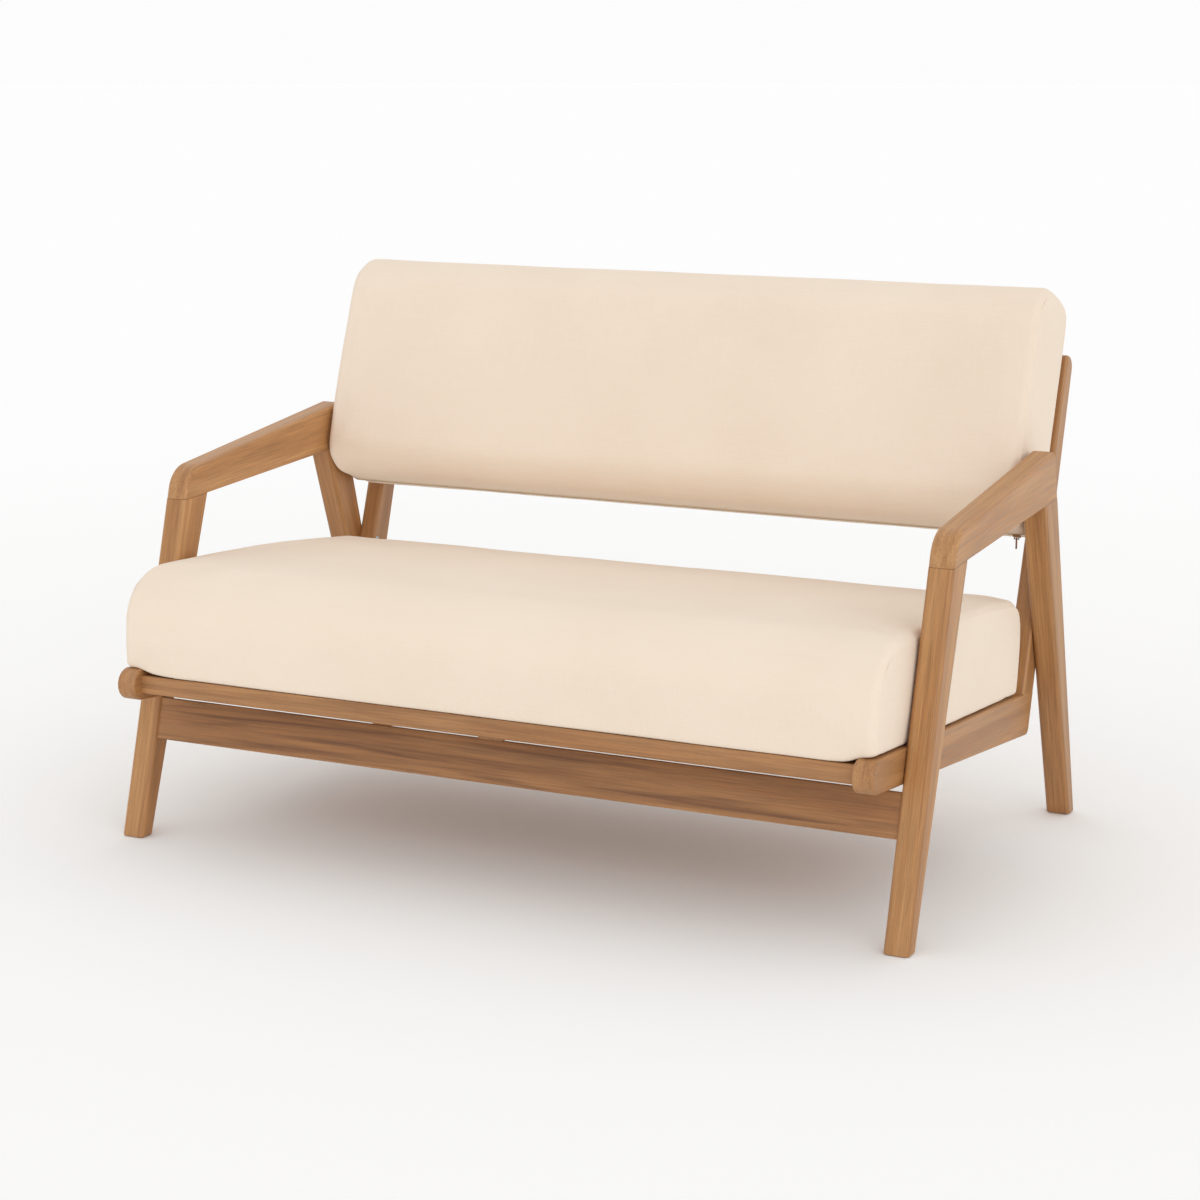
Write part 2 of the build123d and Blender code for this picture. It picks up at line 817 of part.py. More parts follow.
def cushion_form(plane, size, corner_rounds, bows, inset):
    """A cushion over a plane, its wrap panel drawn in at both ends to meet the gussets."""
    across = Plane(origin=plane.origin, x_dir=plane.y_dir, z_dir=plane.x_dir)
    half = cushion_half_width - inset
    stations = []
    for step in range(cushion_edge_steps + 1):
        turn = radians(90 * step / cushion_edge_steps)
        reach = half - cushion_edge_round * (1 - sin(turn))
        stations.append((reach, inset + cushion_edge_round * (1 - cos(turn))))
    places = [(-reach, pull) for reach, pull in reversed(stations)] + stations
    with BuildPart() as form:
        loft(
            [cushion_section(across.offset(x), size, corner_rounds, bows, pull) for x, pull in places],
            ruled=True,
        )
    return form.part


def seat_form(inset):
    """The seat cushion, with a belly that fills the recess between the side rails."""
    size = (seat_cushion_front, seat_cushion_rear, seat_cushion_thick)
    low = soft_gap - slat_recess + inset
    half = rail_inner - belly_side_gap - inset
    front, rear = belly_front + inset, seat_cushion_rear - belly_rear_inset - inset
    place = seat_plane.offset(soft_gap)
    with BuildPart() as form:
        add(cushion_form(place, size, seat_cushion_rounds, seat_cushion_bows, inset))
        with BuildSketch(seat_plane.offset(low)):
            with Locations((0, (front + rear) / 2)):
                RectangleRounded(half + half, rear - front, belly_corner_round)
        extrude(amount=belly_overlap)
    return form.part


def back_form(inset):
    """The back cushion, flat behind and full in front."""
    size = (back_cushion_low, back_cushion_high, back_cushion_thick)
    place = back_plane.offset(soft_gap)
    return cushion_form(place, size, back_cushion_rounds, back_cushion_bows, inset)


for name, form in (("seat_cushion", seat_form), ("back_cushion", back_form)):
    with BuildPart() as cover:
        add(form(0))
        add(form(cover_wall), mode=Mode.SUBTRACT)
    keep(cover.part, f"{name}_cover")
    keep(form(cover_wall + core_gap), f"{name}_core")


# A zip chain along the underside of the back cushion, turned up a little way at both ends
def zip_band(plane, wide, proud, low, high, half, corner, rise):
    """A band of some width along a rounded outline, from its lower side up to a rise."""
    with BuildPart() as band:
        with BuildSketch(plane.offset(-wide / 2)) as profile:
            with Locations((0, (low + high) / 2)):
                outer = (half + half + proud + proud, high - low + proud + proud)
                RectangleRounded(*outer, corner + proud)
                RectangleRounded(half + half, high - low, corner, mode=Mode.SUBTRACT)
            with Locations((0, low + rise + high)):
                Rectangle(half * 4, high * 2, mode=Mode.SUBTRACT)
        extrude(amount=wide)
    return band.part


back_zip_plane = back_plane.offset(soft_gap + back_zip_inset)
with BuildPart() as back_zip:
    for wide, proud in ((tape_width, tape_thick), (coil_width, coil_height)):
        add(
            zip_band(
                back_zip_plane,
                wide,
                proud,
                back_cushion_low,
                back_cushion_high,
                cushion_half_width,
                cushion_edge_round,
                zip_rise,
            )
        )
keep(back_zip.part, "back_cushion_zip")

# The seat cushion's zip runs straight along the fullest line of its rear side
seat_zip_half = cushion_half_width - seat_zip_end_inset
seat_zip_lift = soft_gap + (seat_cushion_thick - seat_cushion_bows[2]) / 2
seat_zip_plane = Plane(
    origin=seat_plane.offset(seat_zip_lift).from_local_coords(
        Vector(0, seat_cushion_rear + seat_cushion_bows[1], 0)
    ),
    x_dir=(-1, 0, 0),
    z_dir=seat_plane.y_dir,
)
with BuildPart() as seat_zip:
    for wide, proud in ((tape_width, tape_thick), (coil_width, coil_height)):
        extrude(
            plate(seat_zip_plane, -seat_zip_half, seat_zip_half, -wide / 2, wide / 2),
            amount=proud,
        )
keep(seat_zip.part, "seat_cushion_zip")

# Sliders straddle the coil and carry a bridge, and the pulls hang from the bridges
back_underside = Plane(
    origin=back_zip_plane.from_local_coords(Vector(0, back_cushion_low, 0)),
    x_dir=(-1, 0, 0),
    z_dir=-back_plane.y_dir,
)
slider_end = slider_length / 2 + slider_end_gap
slider_places = {
    "back_cushion": cushion_half_width - back_zip_end_inset - slider_end,
    "seat_cushion": seat_zip_half - slider_end,
}
slider_top = tape_thick + slider_gap + slider_height
bridge_height = slider_top + bridge_lift


def make_slider(face, slider_place):
    """A slider on a cushion face, at the right-hand end of its zip."""
    with BuildPart() as slider:
        extrude(
            plate(
                face.offset(tape_thick + slider_gap),
                -slider_place - slider_length / 2,
                -slider_place + slider_length / 2,
                -slider_width / 2,
                slider_width / 2,
            ),
            amount=slider_height,
        )
        channel = coil_width / 2 + slider_gap
        extrude(
            plate(
                face.offset(tape_thick + slider_gap),
                -slider_place - slider_length,
                -slider_place + slider_length,
                -channel,
                channel,
            ),
            amount=coil_height - tape_thick, mode=Mode.SUBTRACT,
        )
        for end in (-bridge_span / 2, bridge_span / 2):
            extrude(
                plate(
                    face.offset(slider_top),
                    -slider_place + end - bridge_r,
                    -slider_place + end + bridge_r,
                    -bridge_r,
                    bridge_r,
                ),
                amount=bridge_lift + bridge_r,
            )
        start = face.offset(bridge_height).from_local_coords(
            Vector(-slider_place - bridge_span / 2, 0, 0)
        )
        with BuildSketch(Plane(origin=start, x_dir=face.y_dir, z_dir=face.x_dir)):
            Circle(bridge_r)
        extrude(amount=bridge_span)
    return slider.part


def make_pull(face, slider_place):
    """A pull whose eye rides on the bridge and whose tab hangs straight down."""
    pivot = face.offset(bridge_height).from_local_coords(Vector(-slider_place, 0, 0))
    start = pivot - Vector(pull_thick / 2, 0, 0)
    with BuildPart() as pull:
        with BuildSketch(Plane(origin=start, x_dir=(0, 1, 0), z_dir=(1, 0, 0))):
            Circle(pull_eye_r)
            with Locations((0, -pull_length / 2)):
                RectangleRounded(pull_width, pull_length - pull_eye_r, pull_eye_r / 2)
            Circle(bridge_r + pull_fit, mode=Mode.SUBTRACT)
        extrude(amount=pull_thick)
    return pull.part


for name, face in (("back_cushion", back_underside), ("seat_cushion", seat_zip_plane)):
    keep(make_slider(face, slider_places[name]), f"{name}_zip_slider")
    keep(make_pull(face, slider_places[name]), f"{name}_zip_pull")

# Straps sewn to the back cushion, hooked over the upper back rail
strap_rest = back_rail_starts[-1] + back_rail_width + soft_gap
strap_behind = -back_rail_thick - soft_gap
strap_outline = (
    (strap_rest + strap_sewn_length, soft_gap),
    (strap_rest + strap_sewn_length, soft_gap - strap_thick),
    (strap_rest + strap_thick, soft_gap - strap_thick),
    (strap_rest + strap_thick, strap_behind - strap_thick),
    (strap_rest - strap_drop, strap_behind - strap_thick),
    (strap_rest - strap_drop, strap_behind),
    (strap_rest, strap_behind),
    (strap_rest, soft_gap),
)
with BuildPart() as straps:
    for place in strap_places:
        points = [back_point(rise, proud) for rise, proud in strap_outline]
        extrude(outline(side_plane(place - strap_width / 2), points), amount=strap_width)
keep(straps.part, "back_cushion_straps")
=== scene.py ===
"""Looks for the patio loveseat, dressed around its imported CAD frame. Everything is in metres."""

import math

import bmesh
import bpy
from mathutils import Matrix, Vector, noise


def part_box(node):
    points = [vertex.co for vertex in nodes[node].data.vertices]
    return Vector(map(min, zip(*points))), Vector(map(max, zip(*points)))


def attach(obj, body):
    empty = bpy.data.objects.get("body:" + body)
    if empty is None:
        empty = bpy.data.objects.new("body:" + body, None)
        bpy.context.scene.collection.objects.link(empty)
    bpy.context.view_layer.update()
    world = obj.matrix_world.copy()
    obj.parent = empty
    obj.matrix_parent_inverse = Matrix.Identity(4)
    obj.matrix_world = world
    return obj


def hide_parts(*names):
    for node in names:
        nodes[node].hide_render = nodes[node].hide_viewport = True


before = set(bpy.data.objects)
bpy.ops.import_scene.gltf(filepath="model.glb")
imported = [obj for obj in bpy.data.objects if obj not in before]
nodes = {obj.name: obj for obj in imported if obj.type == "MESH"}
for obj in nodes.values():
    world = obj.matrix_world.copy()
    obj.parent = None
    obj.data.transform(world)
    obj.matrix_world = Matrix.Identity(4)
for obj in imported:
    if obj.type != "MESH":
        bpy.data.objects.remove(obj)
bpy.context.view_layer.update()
MM = 0.001

# The photograph's camera: place in metres, angles in degrees, lens and sensor in mm
CAMERA_PLACE = (1.82756, -3.74782, 1.25680)
CAMERA_PITCH = 12.004
CAMERA_YAW = 26.063
CAMERA_LENS = 80.73
CAMERA_SENSOR = 36.0

camera_data = bpy.data.cameras.new("photo_camera")
camera_data.lens = CAMERA_LENS
camera_data.sensor_width = CAMERA_SENSOR
camera = bpy.data.objects.new("photo_camera", camera_data)
camera.location = CAMERA_PLACE
camera.rotation_euler = (math.radians(90 - CAMERA_PITCH), 0, math.radians(CAMERA_YAW))
bpy.context.scene.collection.objects.link(camera)
bpy.context.scene.camera = camera

# Directions and origins of the sloping seat and the leaning back, as the CAD has them, in mm
MODEL_SHIFT = 392.533
SEAT_SLOPE = math.radians(4.8)
POST_LEAN = math.radians(19.3)
LEG_RAKE = math.radians(17.7)
ARM_RISE = math.radians(3.3)
SEAT_FRONT = (-48.0, 287.8)
POST_SETBACK = 676.859
SEAT_OUT = Vector((0, math.cos(SEAT_SLOPE), -math.sin(SEAT_SLOPE)))
SEAT_UP = Vector((0, math.sin(SEAT_SLOPE), math.cos(SEAT_SLOPE)))
BACK_UP = Vector((0, math.sin(POST_LEAN), math.cos(POST_LEAN)))
BACK_OUT = Vector((0, -math.cos(POST_LEAN), math.sin(POST_LEAN)))
SEAT_ORIGIN = Vector((0, SEAT_FRONT[0] - MODEL_SHIFT, SEAT_FRONT[1]))
BACK_ORIGIN = SEAT_ORIGIN + SEAT_OUT * POST_SETBACK


def seat_place(x, reach, lift):
    """A point by its reach from the seat's nose and its lift off the rail tops, in mm."""
    return (SEAT_ORIGIN + Vector((x, 0, 0)) + SEAT_OUT * reach + SEAT_UP * lift) * MM


def back_place(x, rise, proud):
    """A point by its rise up the posts and how proud of their front it stands, in mm."""
    return (BACK_ORIGIN + Vector((x, 0, 0)) + BACK_UP * rise + BACK_OUT * proud) * MM


# Materials


def linear(code):
    """An sRGB hex colour as the linear colour that Blender works in."""
    parts = [int(code[i : i + 2], 16) / 255 for i in (1, 3, 5)]
    return tuple(c / 12.92 if c <= 0.04045 else ((c + 0.055) / 1.055) ** 2.4 for c in parts) + (1,)


def add(tree, kind, links=None, stops=(), **settings):
    """One shader node: its settings, its ramp's stops, and its inputs as values or sockets."""
    node = tree.nodes.new("ShaderNode" + kind)
    for key, value in settings.items():
        setattr(node, key, value)
    for number, (place, code) in enumerate(stops):
        band = node.color_ramp.elements
        stop = band[number] if number < len(band) else band.new(place)
        stop.position = place
        stop.color = linear(code)
    for key, value in (links or {}).items():
        if isinstance(value, bpy.types.NodeSocket):
            tree.links.new(value, node.inputs[key])
        else:
            node.inputs[key].default_value = value
    return node


def new_material(name):
    """An empty node material and its tree."""
    material = bpy.data.materials.new(name)
    material.use_nodes = True
    material.node_tree.nodes.clear()
    return material, material.node_tree


def grain(tree, turn, size, detail=3.0, roughness=0.5, distortion=0.0, shift=(0, 0, 0)):
    """Random light and dark along a piece's own axes, in patches of a real size in metres."""
    place = add(tree, "TexCoord").outputs["Object"]
    links = {"Vector": place, "Rotation": turn, "Scale": size, "Location": shift}
    own_place = add(tree, "Mapping", links, vector_type="TEXTURE").outputs[0]
    links = {"Vector": own_place, "Scale": 1.0, "Detail": detail, "Roughness": roughness}
    links["Distortion"] = distortion
    return add(tree, "TexNoise", links).outputs[0]


def axes_turn(along, across):
    """Euler angles of a frame whose X runs along a piece and whose Y runs across its face."""
    first = Vector(along).normalized()
    third = first.cross(Vector(across)).normalized()
    second = third.cross(first)
    return Matrix((first, second, third)).transposed().to_euler()


def oiled_hardwood(name, along, across, seed, heart_share, shade_tint):
    """Solid eucalyptus, planed, sanded and oiled, which gives a low satin sheen over open
    straight grain. Growth layers are wide across a board's face and thin through it."""
    material, tree = new_material(name)
    turn = axes_turn(along, across)
    shift = (0.31 * seed, 0.17 * seed, 0.23 * seed)
    # The board's slow change of colour, in patches 600 mm long and 45 mm wide
    figure = grain(tree, turn, (0.6, 0.045, 0.014), 3, 0.5, 0.5, shift)
    # Growth layers 240 mm long, 25 mm wide on the face and 2.2 mm thick
    layers = grain(tree, turn, (0.24, 0.025, 0.0022), 3, 0.55, 0.4, shift)
    # Fibre bundles 80 mm long and 2.6 mm wide, drawn six times coarser than they are
    fibres = grain(tree, turn, (0.08, 0.0026, 0.0014), 2, 0.5, 0.0, shift)
    # Smoky heart bands 360 mm long, 15 mm wide and 6 mm thick
    heart = grain(tree, turn, (0.36, 0.015, 0.006), 3, 0.5, 0.9, shift)
    # Open pores 11 mm long and 0.9 mm wide, drawn twice as coarse as they are
    pores = grain(tree, turn, (0.011, 0.0009, 0.0007), 2, 0.5, 0.0, shift)
    tones = ((0.3, "#AC7746"), (0.47, "#B98450"), (0.6, "#C28F5B"), (0.75, "#B07C4A"))
    base = add(tree, "ValToRGB", {"Fac": figure}, tones).outputs[0]
    tones = ((0.32, "#A0A0A0"), (0.5, "#BCBCBC"), (0.7, "#CFCFCF"))
    layer_tone = add(tree, "ValToRGB", {"Fac": layers}, tones).outputs[0]
    tones = ((0.3, "#989898"), (0.5, "#BCBCBC"), (0.7, "#D2D2D2"))
    fibre_tone = add(tree, "ValToRGB", {"Fac": fibres}, tones).outputs[0]
    overlay = {"data_type": "RGBA", "blend_type": "OVERLAY"}
    colour = add(tree, "Mix", {0: 0.4, 6: base, 7: layer_tone}, **overlay).outputs[2]
    colour = add(tree, "Mix", {0: 0.5, 6: colour, 7: fibre_tone}, **overlay).outputs[2]
    links = {"Value": heart, "From Min": 0.48, "From Max": 0.72, "To Max": heart_share}
    dark = add(tree, "MapRange", links).outputs[0]
    links = {0: dark, 6: colour, 7: linear("#6F4527")}
    colour = add(tree, "Mix", links, data_type="RGBA").outputs[2]
    links = {"Value": pores, "From Min": 0.4, "From Max": 0.3, "To Max": 0.22}
    pit = add(tree, "MapRange", links).outputs[0]
    links = {0: pit, 6: colour, 7: linear("#603B21")}
    colour = add(tree, "Mix", links, data_type="RGBA").outputs[2]
    links = {"Value": fibres, "From Min": 0.3, "From Max": 0.7, "To Min": 0.4, "To Max": 0.54}
    gloss = add(tree, "MapRange", links).outputs[0]
    relief = add(tree, "Math", {0: fibres, 1: pores}, operation="ADD").outputs[0]
    bump = add(tree, "Bump", {"Strength": 0.25, "Distance": 0.0003, "Height": relief})
    # Painted shade: the tint darkens each kind of board by how much it stands in shade
    links = {0: 1.0, 6: colour, 7: linear(shade_tint)}
    colour = add(tree, "Mix", links, data_type="RGBA", blend_type="MULTIPLY").outputs[2]
    links = {
        "Base Color": colour,
        "Roughness": gloss,
        "IOR": 1.5,
        "Specular IOR Level": 0.5,
        "Coat Weight": 0.12,
        "Coat Roughness": 0.35,
        "Normal": bump.outputs[0],
    }
    shader = add(tree, "BsdfPrincipled", links)
    add(tree, "OutputMaterial", {"Surface": shader.outputs[0]})
    return material


def woven_canvas(name, turn, light, shade):
    """Solution-dyed outdoor canvas, plain woven from slubby yarn: matt, with fine irregular
    threads both ways and a faint pile-like sheen at grazing angles."""
    material, tree = new_material(name)
    # Yarn is about 0.7 mm; it is drawn 1.7 mm wide so that the weave shows
    yarns = ((0.03, 0.0017, 0.0017), (0.0017, 0.03, 0.0017), (0.0017, 0.0017, 0.03))
    threads = [grain(tree, turn, size, 2, 0.55) for size in yarns]
    pair = add(tree, "Math", {0: threads[0], 1: threads[1]}, operation="ADD").outputs[0]
    weave = add(tree, "Math", {0: pair, 1: threads[2]}, operation="ADD").outputs[0]
    third = add(tree, "Math", {0: weave, 1: 1 / 3}, operation="MULTIPLY").outputs[0]
    # Slow shading of the cloth, in patches about 220 mm wide
    patch = grain(tree, turn, (0.22, 0.22, 0.22), 2, 0.5)
    base = add(tree, "ValToRGB", {"Fac": patch}, ((0.3, shade), (0.7, light))).outputs[0]
    tones = ((0.38, "#A9A9A9"), (0.5, "#BCBCBC"), (0.62, "#CFCFCF"))
    thread_tone = add(tree, "ValToRGB", {"Fac": third}, tones).outputs[0]
    links = {0: 0.27, 6: base, 7: thread_tone}
    colour = add(tree, "Mix", links, data_type="RGBA", blend_type="OVERLAY").outputs[2]
    bump = add(tree, "Bump", {"Strength": 0.4, "Distance": 0.0008, "Height": third})
    links = {
        "Base Color": colour,
        "Roughness": 0.92,
        "Specular IOR Level": 0.2,
        "Sheen Weight": 0.15,
        "Sheen Roughness": 0.6,
        "Normal": bump.outputs[0],
    }
    shader = add(tree, "BsdfPrincipled", links)
    add(tree, "OutputMaterial", {"Surface": shader.outputs[0]})
    return material


def plain_finish(name, code, other, size, roughness, metallic=0.0, relief=0.0002):
    """A finish with a fine mottle of two near colours, in patches of a size in metres."""
    material, tree = new_material(name)
    mottle = grain(tree, (0, 0, 0), size, 3, 0.6)
    colour = add(tree, "ValToRGB", {"Fac": mottle}, ((0.35, code), (0.65, other))).outputs[0]
    links = {"Value": mottle, "To Min": roughness - 0.08, "To Max": roughness + 0.08}
    gloss = add(tree, "MapRange", links).outputs[0]
    bump = add(tree, "Bump", {"Strength": 0.3, "Distance": relief, "Height": mottle})
    links = {"Base Color": colour, "Roughness": gloss, "Metallic": metallic}
    links["Normal"] = bump.outputs[0]
    shader = add(tree, "BsdfPrincipled", links)
    add(tree, "OutputMaterial", {"Surface": shader.outputs[0]})
    return material


X_WAY = Vector((1, 0, 0))
Y_WAY = Vector((0, 1, 0))
Z_WAY = Vector((0, 0, 1))
FRONT_LEG_WAY = Vector((0, math.sin(LEG_RAKE), math.cos(LEG_RAKE)))
REAR_LEG_WAY = Vector((0, -math.sin(LEG_RAKE), math.cos(LEG_RAKE)))
ARM_WAY = Vector((0, math.cos(ARM_RISE), math.sin(ARM_RISE)))
# Each kind of board: the way its grain runs, the way across its face, its share of heart
# wood, and a tint of painted shade, darker on the boards that stand in shade, the apron most
BOARDS = {
    "armrest": (ARM_WAY, Z_WAY, 0.2, "#F7F8F9"),
    "front_leg": (FRONT_LEG_WAY, Y_WAY, 0.14, "#F6F5EF"),
    "rear_leg": (REAR_LEG_WAY, Y_WAY, 0.25, "#EAE8E4"),
    "side_rail": (SEAT_OUT, SEAT_UP, 0.25, "#EBE9E8"),
    "cleat": (SEAT_OUT, SEAT_UP, 0.4, "#E6E2DE"),
    "bearer": (SEAT_OUT, SEAT_UP, 0.4, "#E6E2DE"),
    "post": (BACK_UP, Y_WAY, 0.25, "#EAE8E4"),
    "front_apron": (X_WAY, Z_WAY, 0.7, "#E0D8D0"),
    "seat_rail": (X_WAY, SEAT_UP, 0.3, "#E3DEDB"),
    "slat": (X_WAY, SEAT_OUT, 0.4, "#F0EEEC"),
    "back_rail": (X_WAY, BACK_UP, 0.4, "#F0EEEC"),
}

for seed, name in enumerate(sorted(nodes)):
    slots = [slot.material.name for slot in nodes[name].material_slots]
    if not slots or not slots[0].startswith("hardwood"):
        continue
    along, across, share, shade_tint = next(BOARDS[key] for key in BOARDS if key in name)
    wood = oiled_hardwood(f"oiled_hardwood_{name}", along, across, seed, share, shade_tint)
    nodes[name].material_slots[0].material = wood

# Beech, turned and left bare: pale tan and matt, flecked with rays 10 mm wide and 30 mm long
beech_dowel = plain_finish("turned_beech_dowel", "#C9A573", "#D8B98A", (0.01, 0.01, 0.03), 0.6)
# Steel, barrel plated with zinc: pale grey, lightly blued and satin, in 2 mm patches
zinc_steel = plain_finish("zinc_plated_steel", "#A9ADB0", "#C4C6C6", (0.002,) * 3, 0.34, 1.0)
# Brass, die cast: yellow, with the skin of the mould showing as a soft 3 mm mottle
die_cast_brass = plain_finish("die_cast_brass", "#B08A4A", "#C8A666", (0.003,) * 3, 0.38, 1.0)
# Nylon, moulded: nearly black, with an even low sheen over a 1 mm grain
nylon_glide = plain_finish("moulded_nylon_glide", "#2A2724", "#35312D", (0.001,) * 3, 0.5)
# Zinc, die cast and painted brown to go with the tape: dull, with a 2 mm unevenness
painted_zinc = plain_finish("painted_die_cast_zinc", "#8C6238", "#9C7044", (0.002,) * 3, 0.5)
# Polyester, woven into tape: matt, a shade off the canvas, with ribs 1.2 mm apart
polyester_tape = plain_finish("woven_polyester_tape", "#E4D2BB", "#ECDDC8", (0.0012,) * 3, 0.85)
# Nylon, drawn to filament and wound into a coil: a tan line, softly glossy, 1 mm grain
nylon_coil = plain_finish("extruded_nylon_coil", "#C4AC8C", "#D2BD9F", (0.001,) * 3, 0.5)
# Polypropylene, woven into webbing: cream and dry, with picks 2.5 mm long and 1.2 mm apart
WEBBING_PICK = (0.0025, 0.0012, 0.0012)
WEBBING_RELIEF = 0.0006
polypropylene_webbing = plain_finish(
    "woven_polypropylene_webbing", "#E3CFB6", "#EEDDC8", WEBBING_PICK, 0.8, 0.0, WEBBING_RELIEF
)
# Polyester, twisted and bonded into sewing thread: a shade darker than the webbing it holds,
# with a twist 0.6 mm long
bonded_thread = plain_finish("bonded_polyester_thread", "#B9A78E", "#C8B79E", (0.0006,) * 3, 0.6)
seat_canvas = woven_canvas("woven_canvas_seat", axes_turn(X_WAY, SEAT_OUT), "#F1E1CE", "#EEDDC9")
back_canvas = woven_canvas("woven_canvas_back", axes_turn(X_WAY, BACK_UP), "#F0DFCC", "#ECDAC6")

# What each slot of the record is finished in. The foam is hidden by its cover
SLOT_LOOKS = {
    "dowel_wood": beech_dowel,
    "steel": zinc_steel,
    "brass": die_cast_brass,
    "glide_plastic": nylon_glide,
    "zip_metal": painted_zinc,
    "zip_tape": polyester_tape,
    "webbing": polypropylene_webbing,
    "cushion_fabric": seat_canvas,
    "cushion_foam": seat_canvas,
}
for name, node in nodes.items():
    for slot in node.material_slots:
        for key, look in SLOT_LOOKS.items():
            if slot.material and slot.material.name.startswith(key):
                slot.material = look
                break


# Mesh helpers


def mesh_piece(name, points, faces, material, body, smooth=True):
    """A mesh object from points and faces, riding on a body and finished from a slot."""
    mesh = bpy.data.meshes.new(name)
    mesh.from_pydata([tuple(p) for p in points], [], faces)
    mesh.validate()
    if smooth:
        mesh.polygons.foreach_set("use_smooth", [True] * len(mesh.polygons))
    return finished_piece(name, mesh, material, body)


def finished_piece(name, mesh, material, body):
    """An object from a mesh, its faces turned outward, riding on a body."""
    mesh.materials.append(material)
    piece = bpy.data.objects.new(name, mesh)
    bpy.context.scene.collection.objects.link(piece)
    turn_outward(piece)
    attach(piece, body)
    return piece


def turn_outward(piece):
    """Turns every face's front outward."""
    work = bmesh.new()
    work.from_mesh(piece.data)
    bmesh.ops.recalc_face_normals(work, faces=work.faces)
    work.to_mesh(piece.data)
    work.free()


def ring_quads(first, size, count):
    """Quads between rings of points that follow each other, each ring closed on itself."""
    quads = []
    for r in range(count - 1):
        a, b = first + r * size, first + (r + 1) * size
        quads += [(a + i, a + (i + 1) % size, b + (i + 1) % size, b + i) for i in range(size)]
    return quads


def capped_tube(first, size, count):
    """The quads of a tube's rings of points, and a cap at each end."""
    last = first + (count - 1) * size
    caps = [tuple(range(first, first + size)), tuple(range(last, last + size))]
    return ring_quads(first, size, count) + caps


# Cushions: a wrap panel round front, top, rear and underside, sewn to a gusset at each end

# Mesh cells, and the close row beside each seam, in mm
CELL = 11.0
SEAM_STEP = 2.6
# How far a seam is drawn in, and how sharp it stays
SEAM_DEPTH = 1.3
SEAM_CREASE = 0.8
# Share of a quarter turn that the end edges go through before the seam
SEAM_TURN = 0.84
# The most that the simulation may swell a panel, and how many frames it takes
MOST_SWELL = 2.4
SWELL_FRAMES = 20
ARC_STEPS = 10
SIDE_STEPS = 24
EDGE_STEPS = 5
LEAST_ROUND = 3.0
# A gusset bulges to its full width within this reach of its seam
GUSSET_REACH = 34.0
GUSSET_POWER = 2.4
BOW_POWER = 2.2
# The filling's slow unevenness, a millimetre or so over a hand's width, with finer ripples
WAVE_SIZE = (170, 120, 120)
WAVE_DEPTH = 0.9
RIPPLE_FINER = 2.7
RIPPLE_DEPTH = 0.5


def spaced(length):
    """Shares from 0 to 1 along a side, about a cell apart, with a close one beside each seam."""
    inner = max(2, round((length - 2 * SEAM_STEP) / CELL))
    near = SEAM_STEP / length
    return [0.0] + [near + (1 - 2 * near) * i / inner for i in range(inner + 1)] + [1.0]


def quarter_turn(centre, radius, start):
    """Points of a quarter turn about a centre, from a start angle in degrees."""
    turns = [math.radians(start + 90 * i / ARC_STEPS) for i in range(ARC_STEPS + 1)]
    return [(centre[0] + radius * math.cos(a), centre[1] + radius * math.sin(a)) for a in turns]


def resample(line, shares):
    """Points at rising shares of a line's length."""
    runs = [0.0]
    for a, b in zip(line, line[1:]):
        runs.append(runs[-1] + math.dist(a, b))
    out = []
    i = 0
    for share in shares:
        goal = share * runs[-1]
        while i < len(line) - 2 and runs[i + 1] < goal:
            i += 1
        part = min((goal - runs[i]) / max(runs[i + 1] - runs[i], 1e-9), 1.0)
        out.append(tuple(line[i][k] + (line[i + 1][k] - line[i][k]) * part for k in (0, 1)))
    return out


class CushionShape:
    """Sizes of one cushion in its own axes, in mm: x across, t along its plane, n off it.

    The rounds and bows go round the section from its resting side, as the CAD has them. The
    end edges are rounded, and that of the resting side by rest_share of the others."""

    def __init__(self, half, low, high, floor, top, rounds, bows, edge, rest_share):
        self.half = half
        self.low, self.high, self.floor, self.top = low, high, floor, top
        self.rounds = rounds
        self.bows = bows
        self.edge = edge
        self.rest_share = rest_share
        self.long_shares = spaced(high - low)
        self.short_shares = spaced(top - floor)

    def ring(self, pull):
        """The section's outline as a ring of (t, n), drawn in by a pull."""
        low, high = self.low + pull, self.high - pull
        floor = self.floor + pull * self.rest_share
        top = self.top - self.bows[2] - pull
        rounds = [max(r - pull, LEAST_ROUND) for r in self.rounds]
        corners = [
            quarter_turn((low + rounds[0], floor + rounds[0]), rounds[0], 180),
            quarter_turn((high - rounds[1], floor + rounds[1]), rounds[1], 270),
            quarter_turn((high - rounds[2], top - rounds[2]), rounds[2], 0),
            quarter_turn((low + rounds[3], top - rounds[3]), rounds[3], 90),
        ]
        ways = ((0, -1), (1, 0), (0, 1), (-1, 0))
        middle = ARC_STEPS // 2
        ring = []
        for i, corner in enumerate(corners):
            following = corners[(i + 1) % 4]
            start, end = corner[-1], following[0]
            run = [
                tuple(start[k] + (end[k] - start[k]) * j / SIDE_STEPS for k in (0, 1))
                for j in range(1, SIDE_STEPS)
            ]
            line = corner[middle:] + run + following[: middle + 1]
            points = resample(line, self.long_shares if i % 2 == 0 else self.short_shares)
            last = len(points) - 1
            for j, point in enumerate(points[:-1]):
                bulge = self.bows[i] * (1 - abs(2 * j / last - 1) ** BOW_POWER)
                ring.append(tuple(point[k] + ways[i][k] * bulge for k in (0, 1)))
        return ring


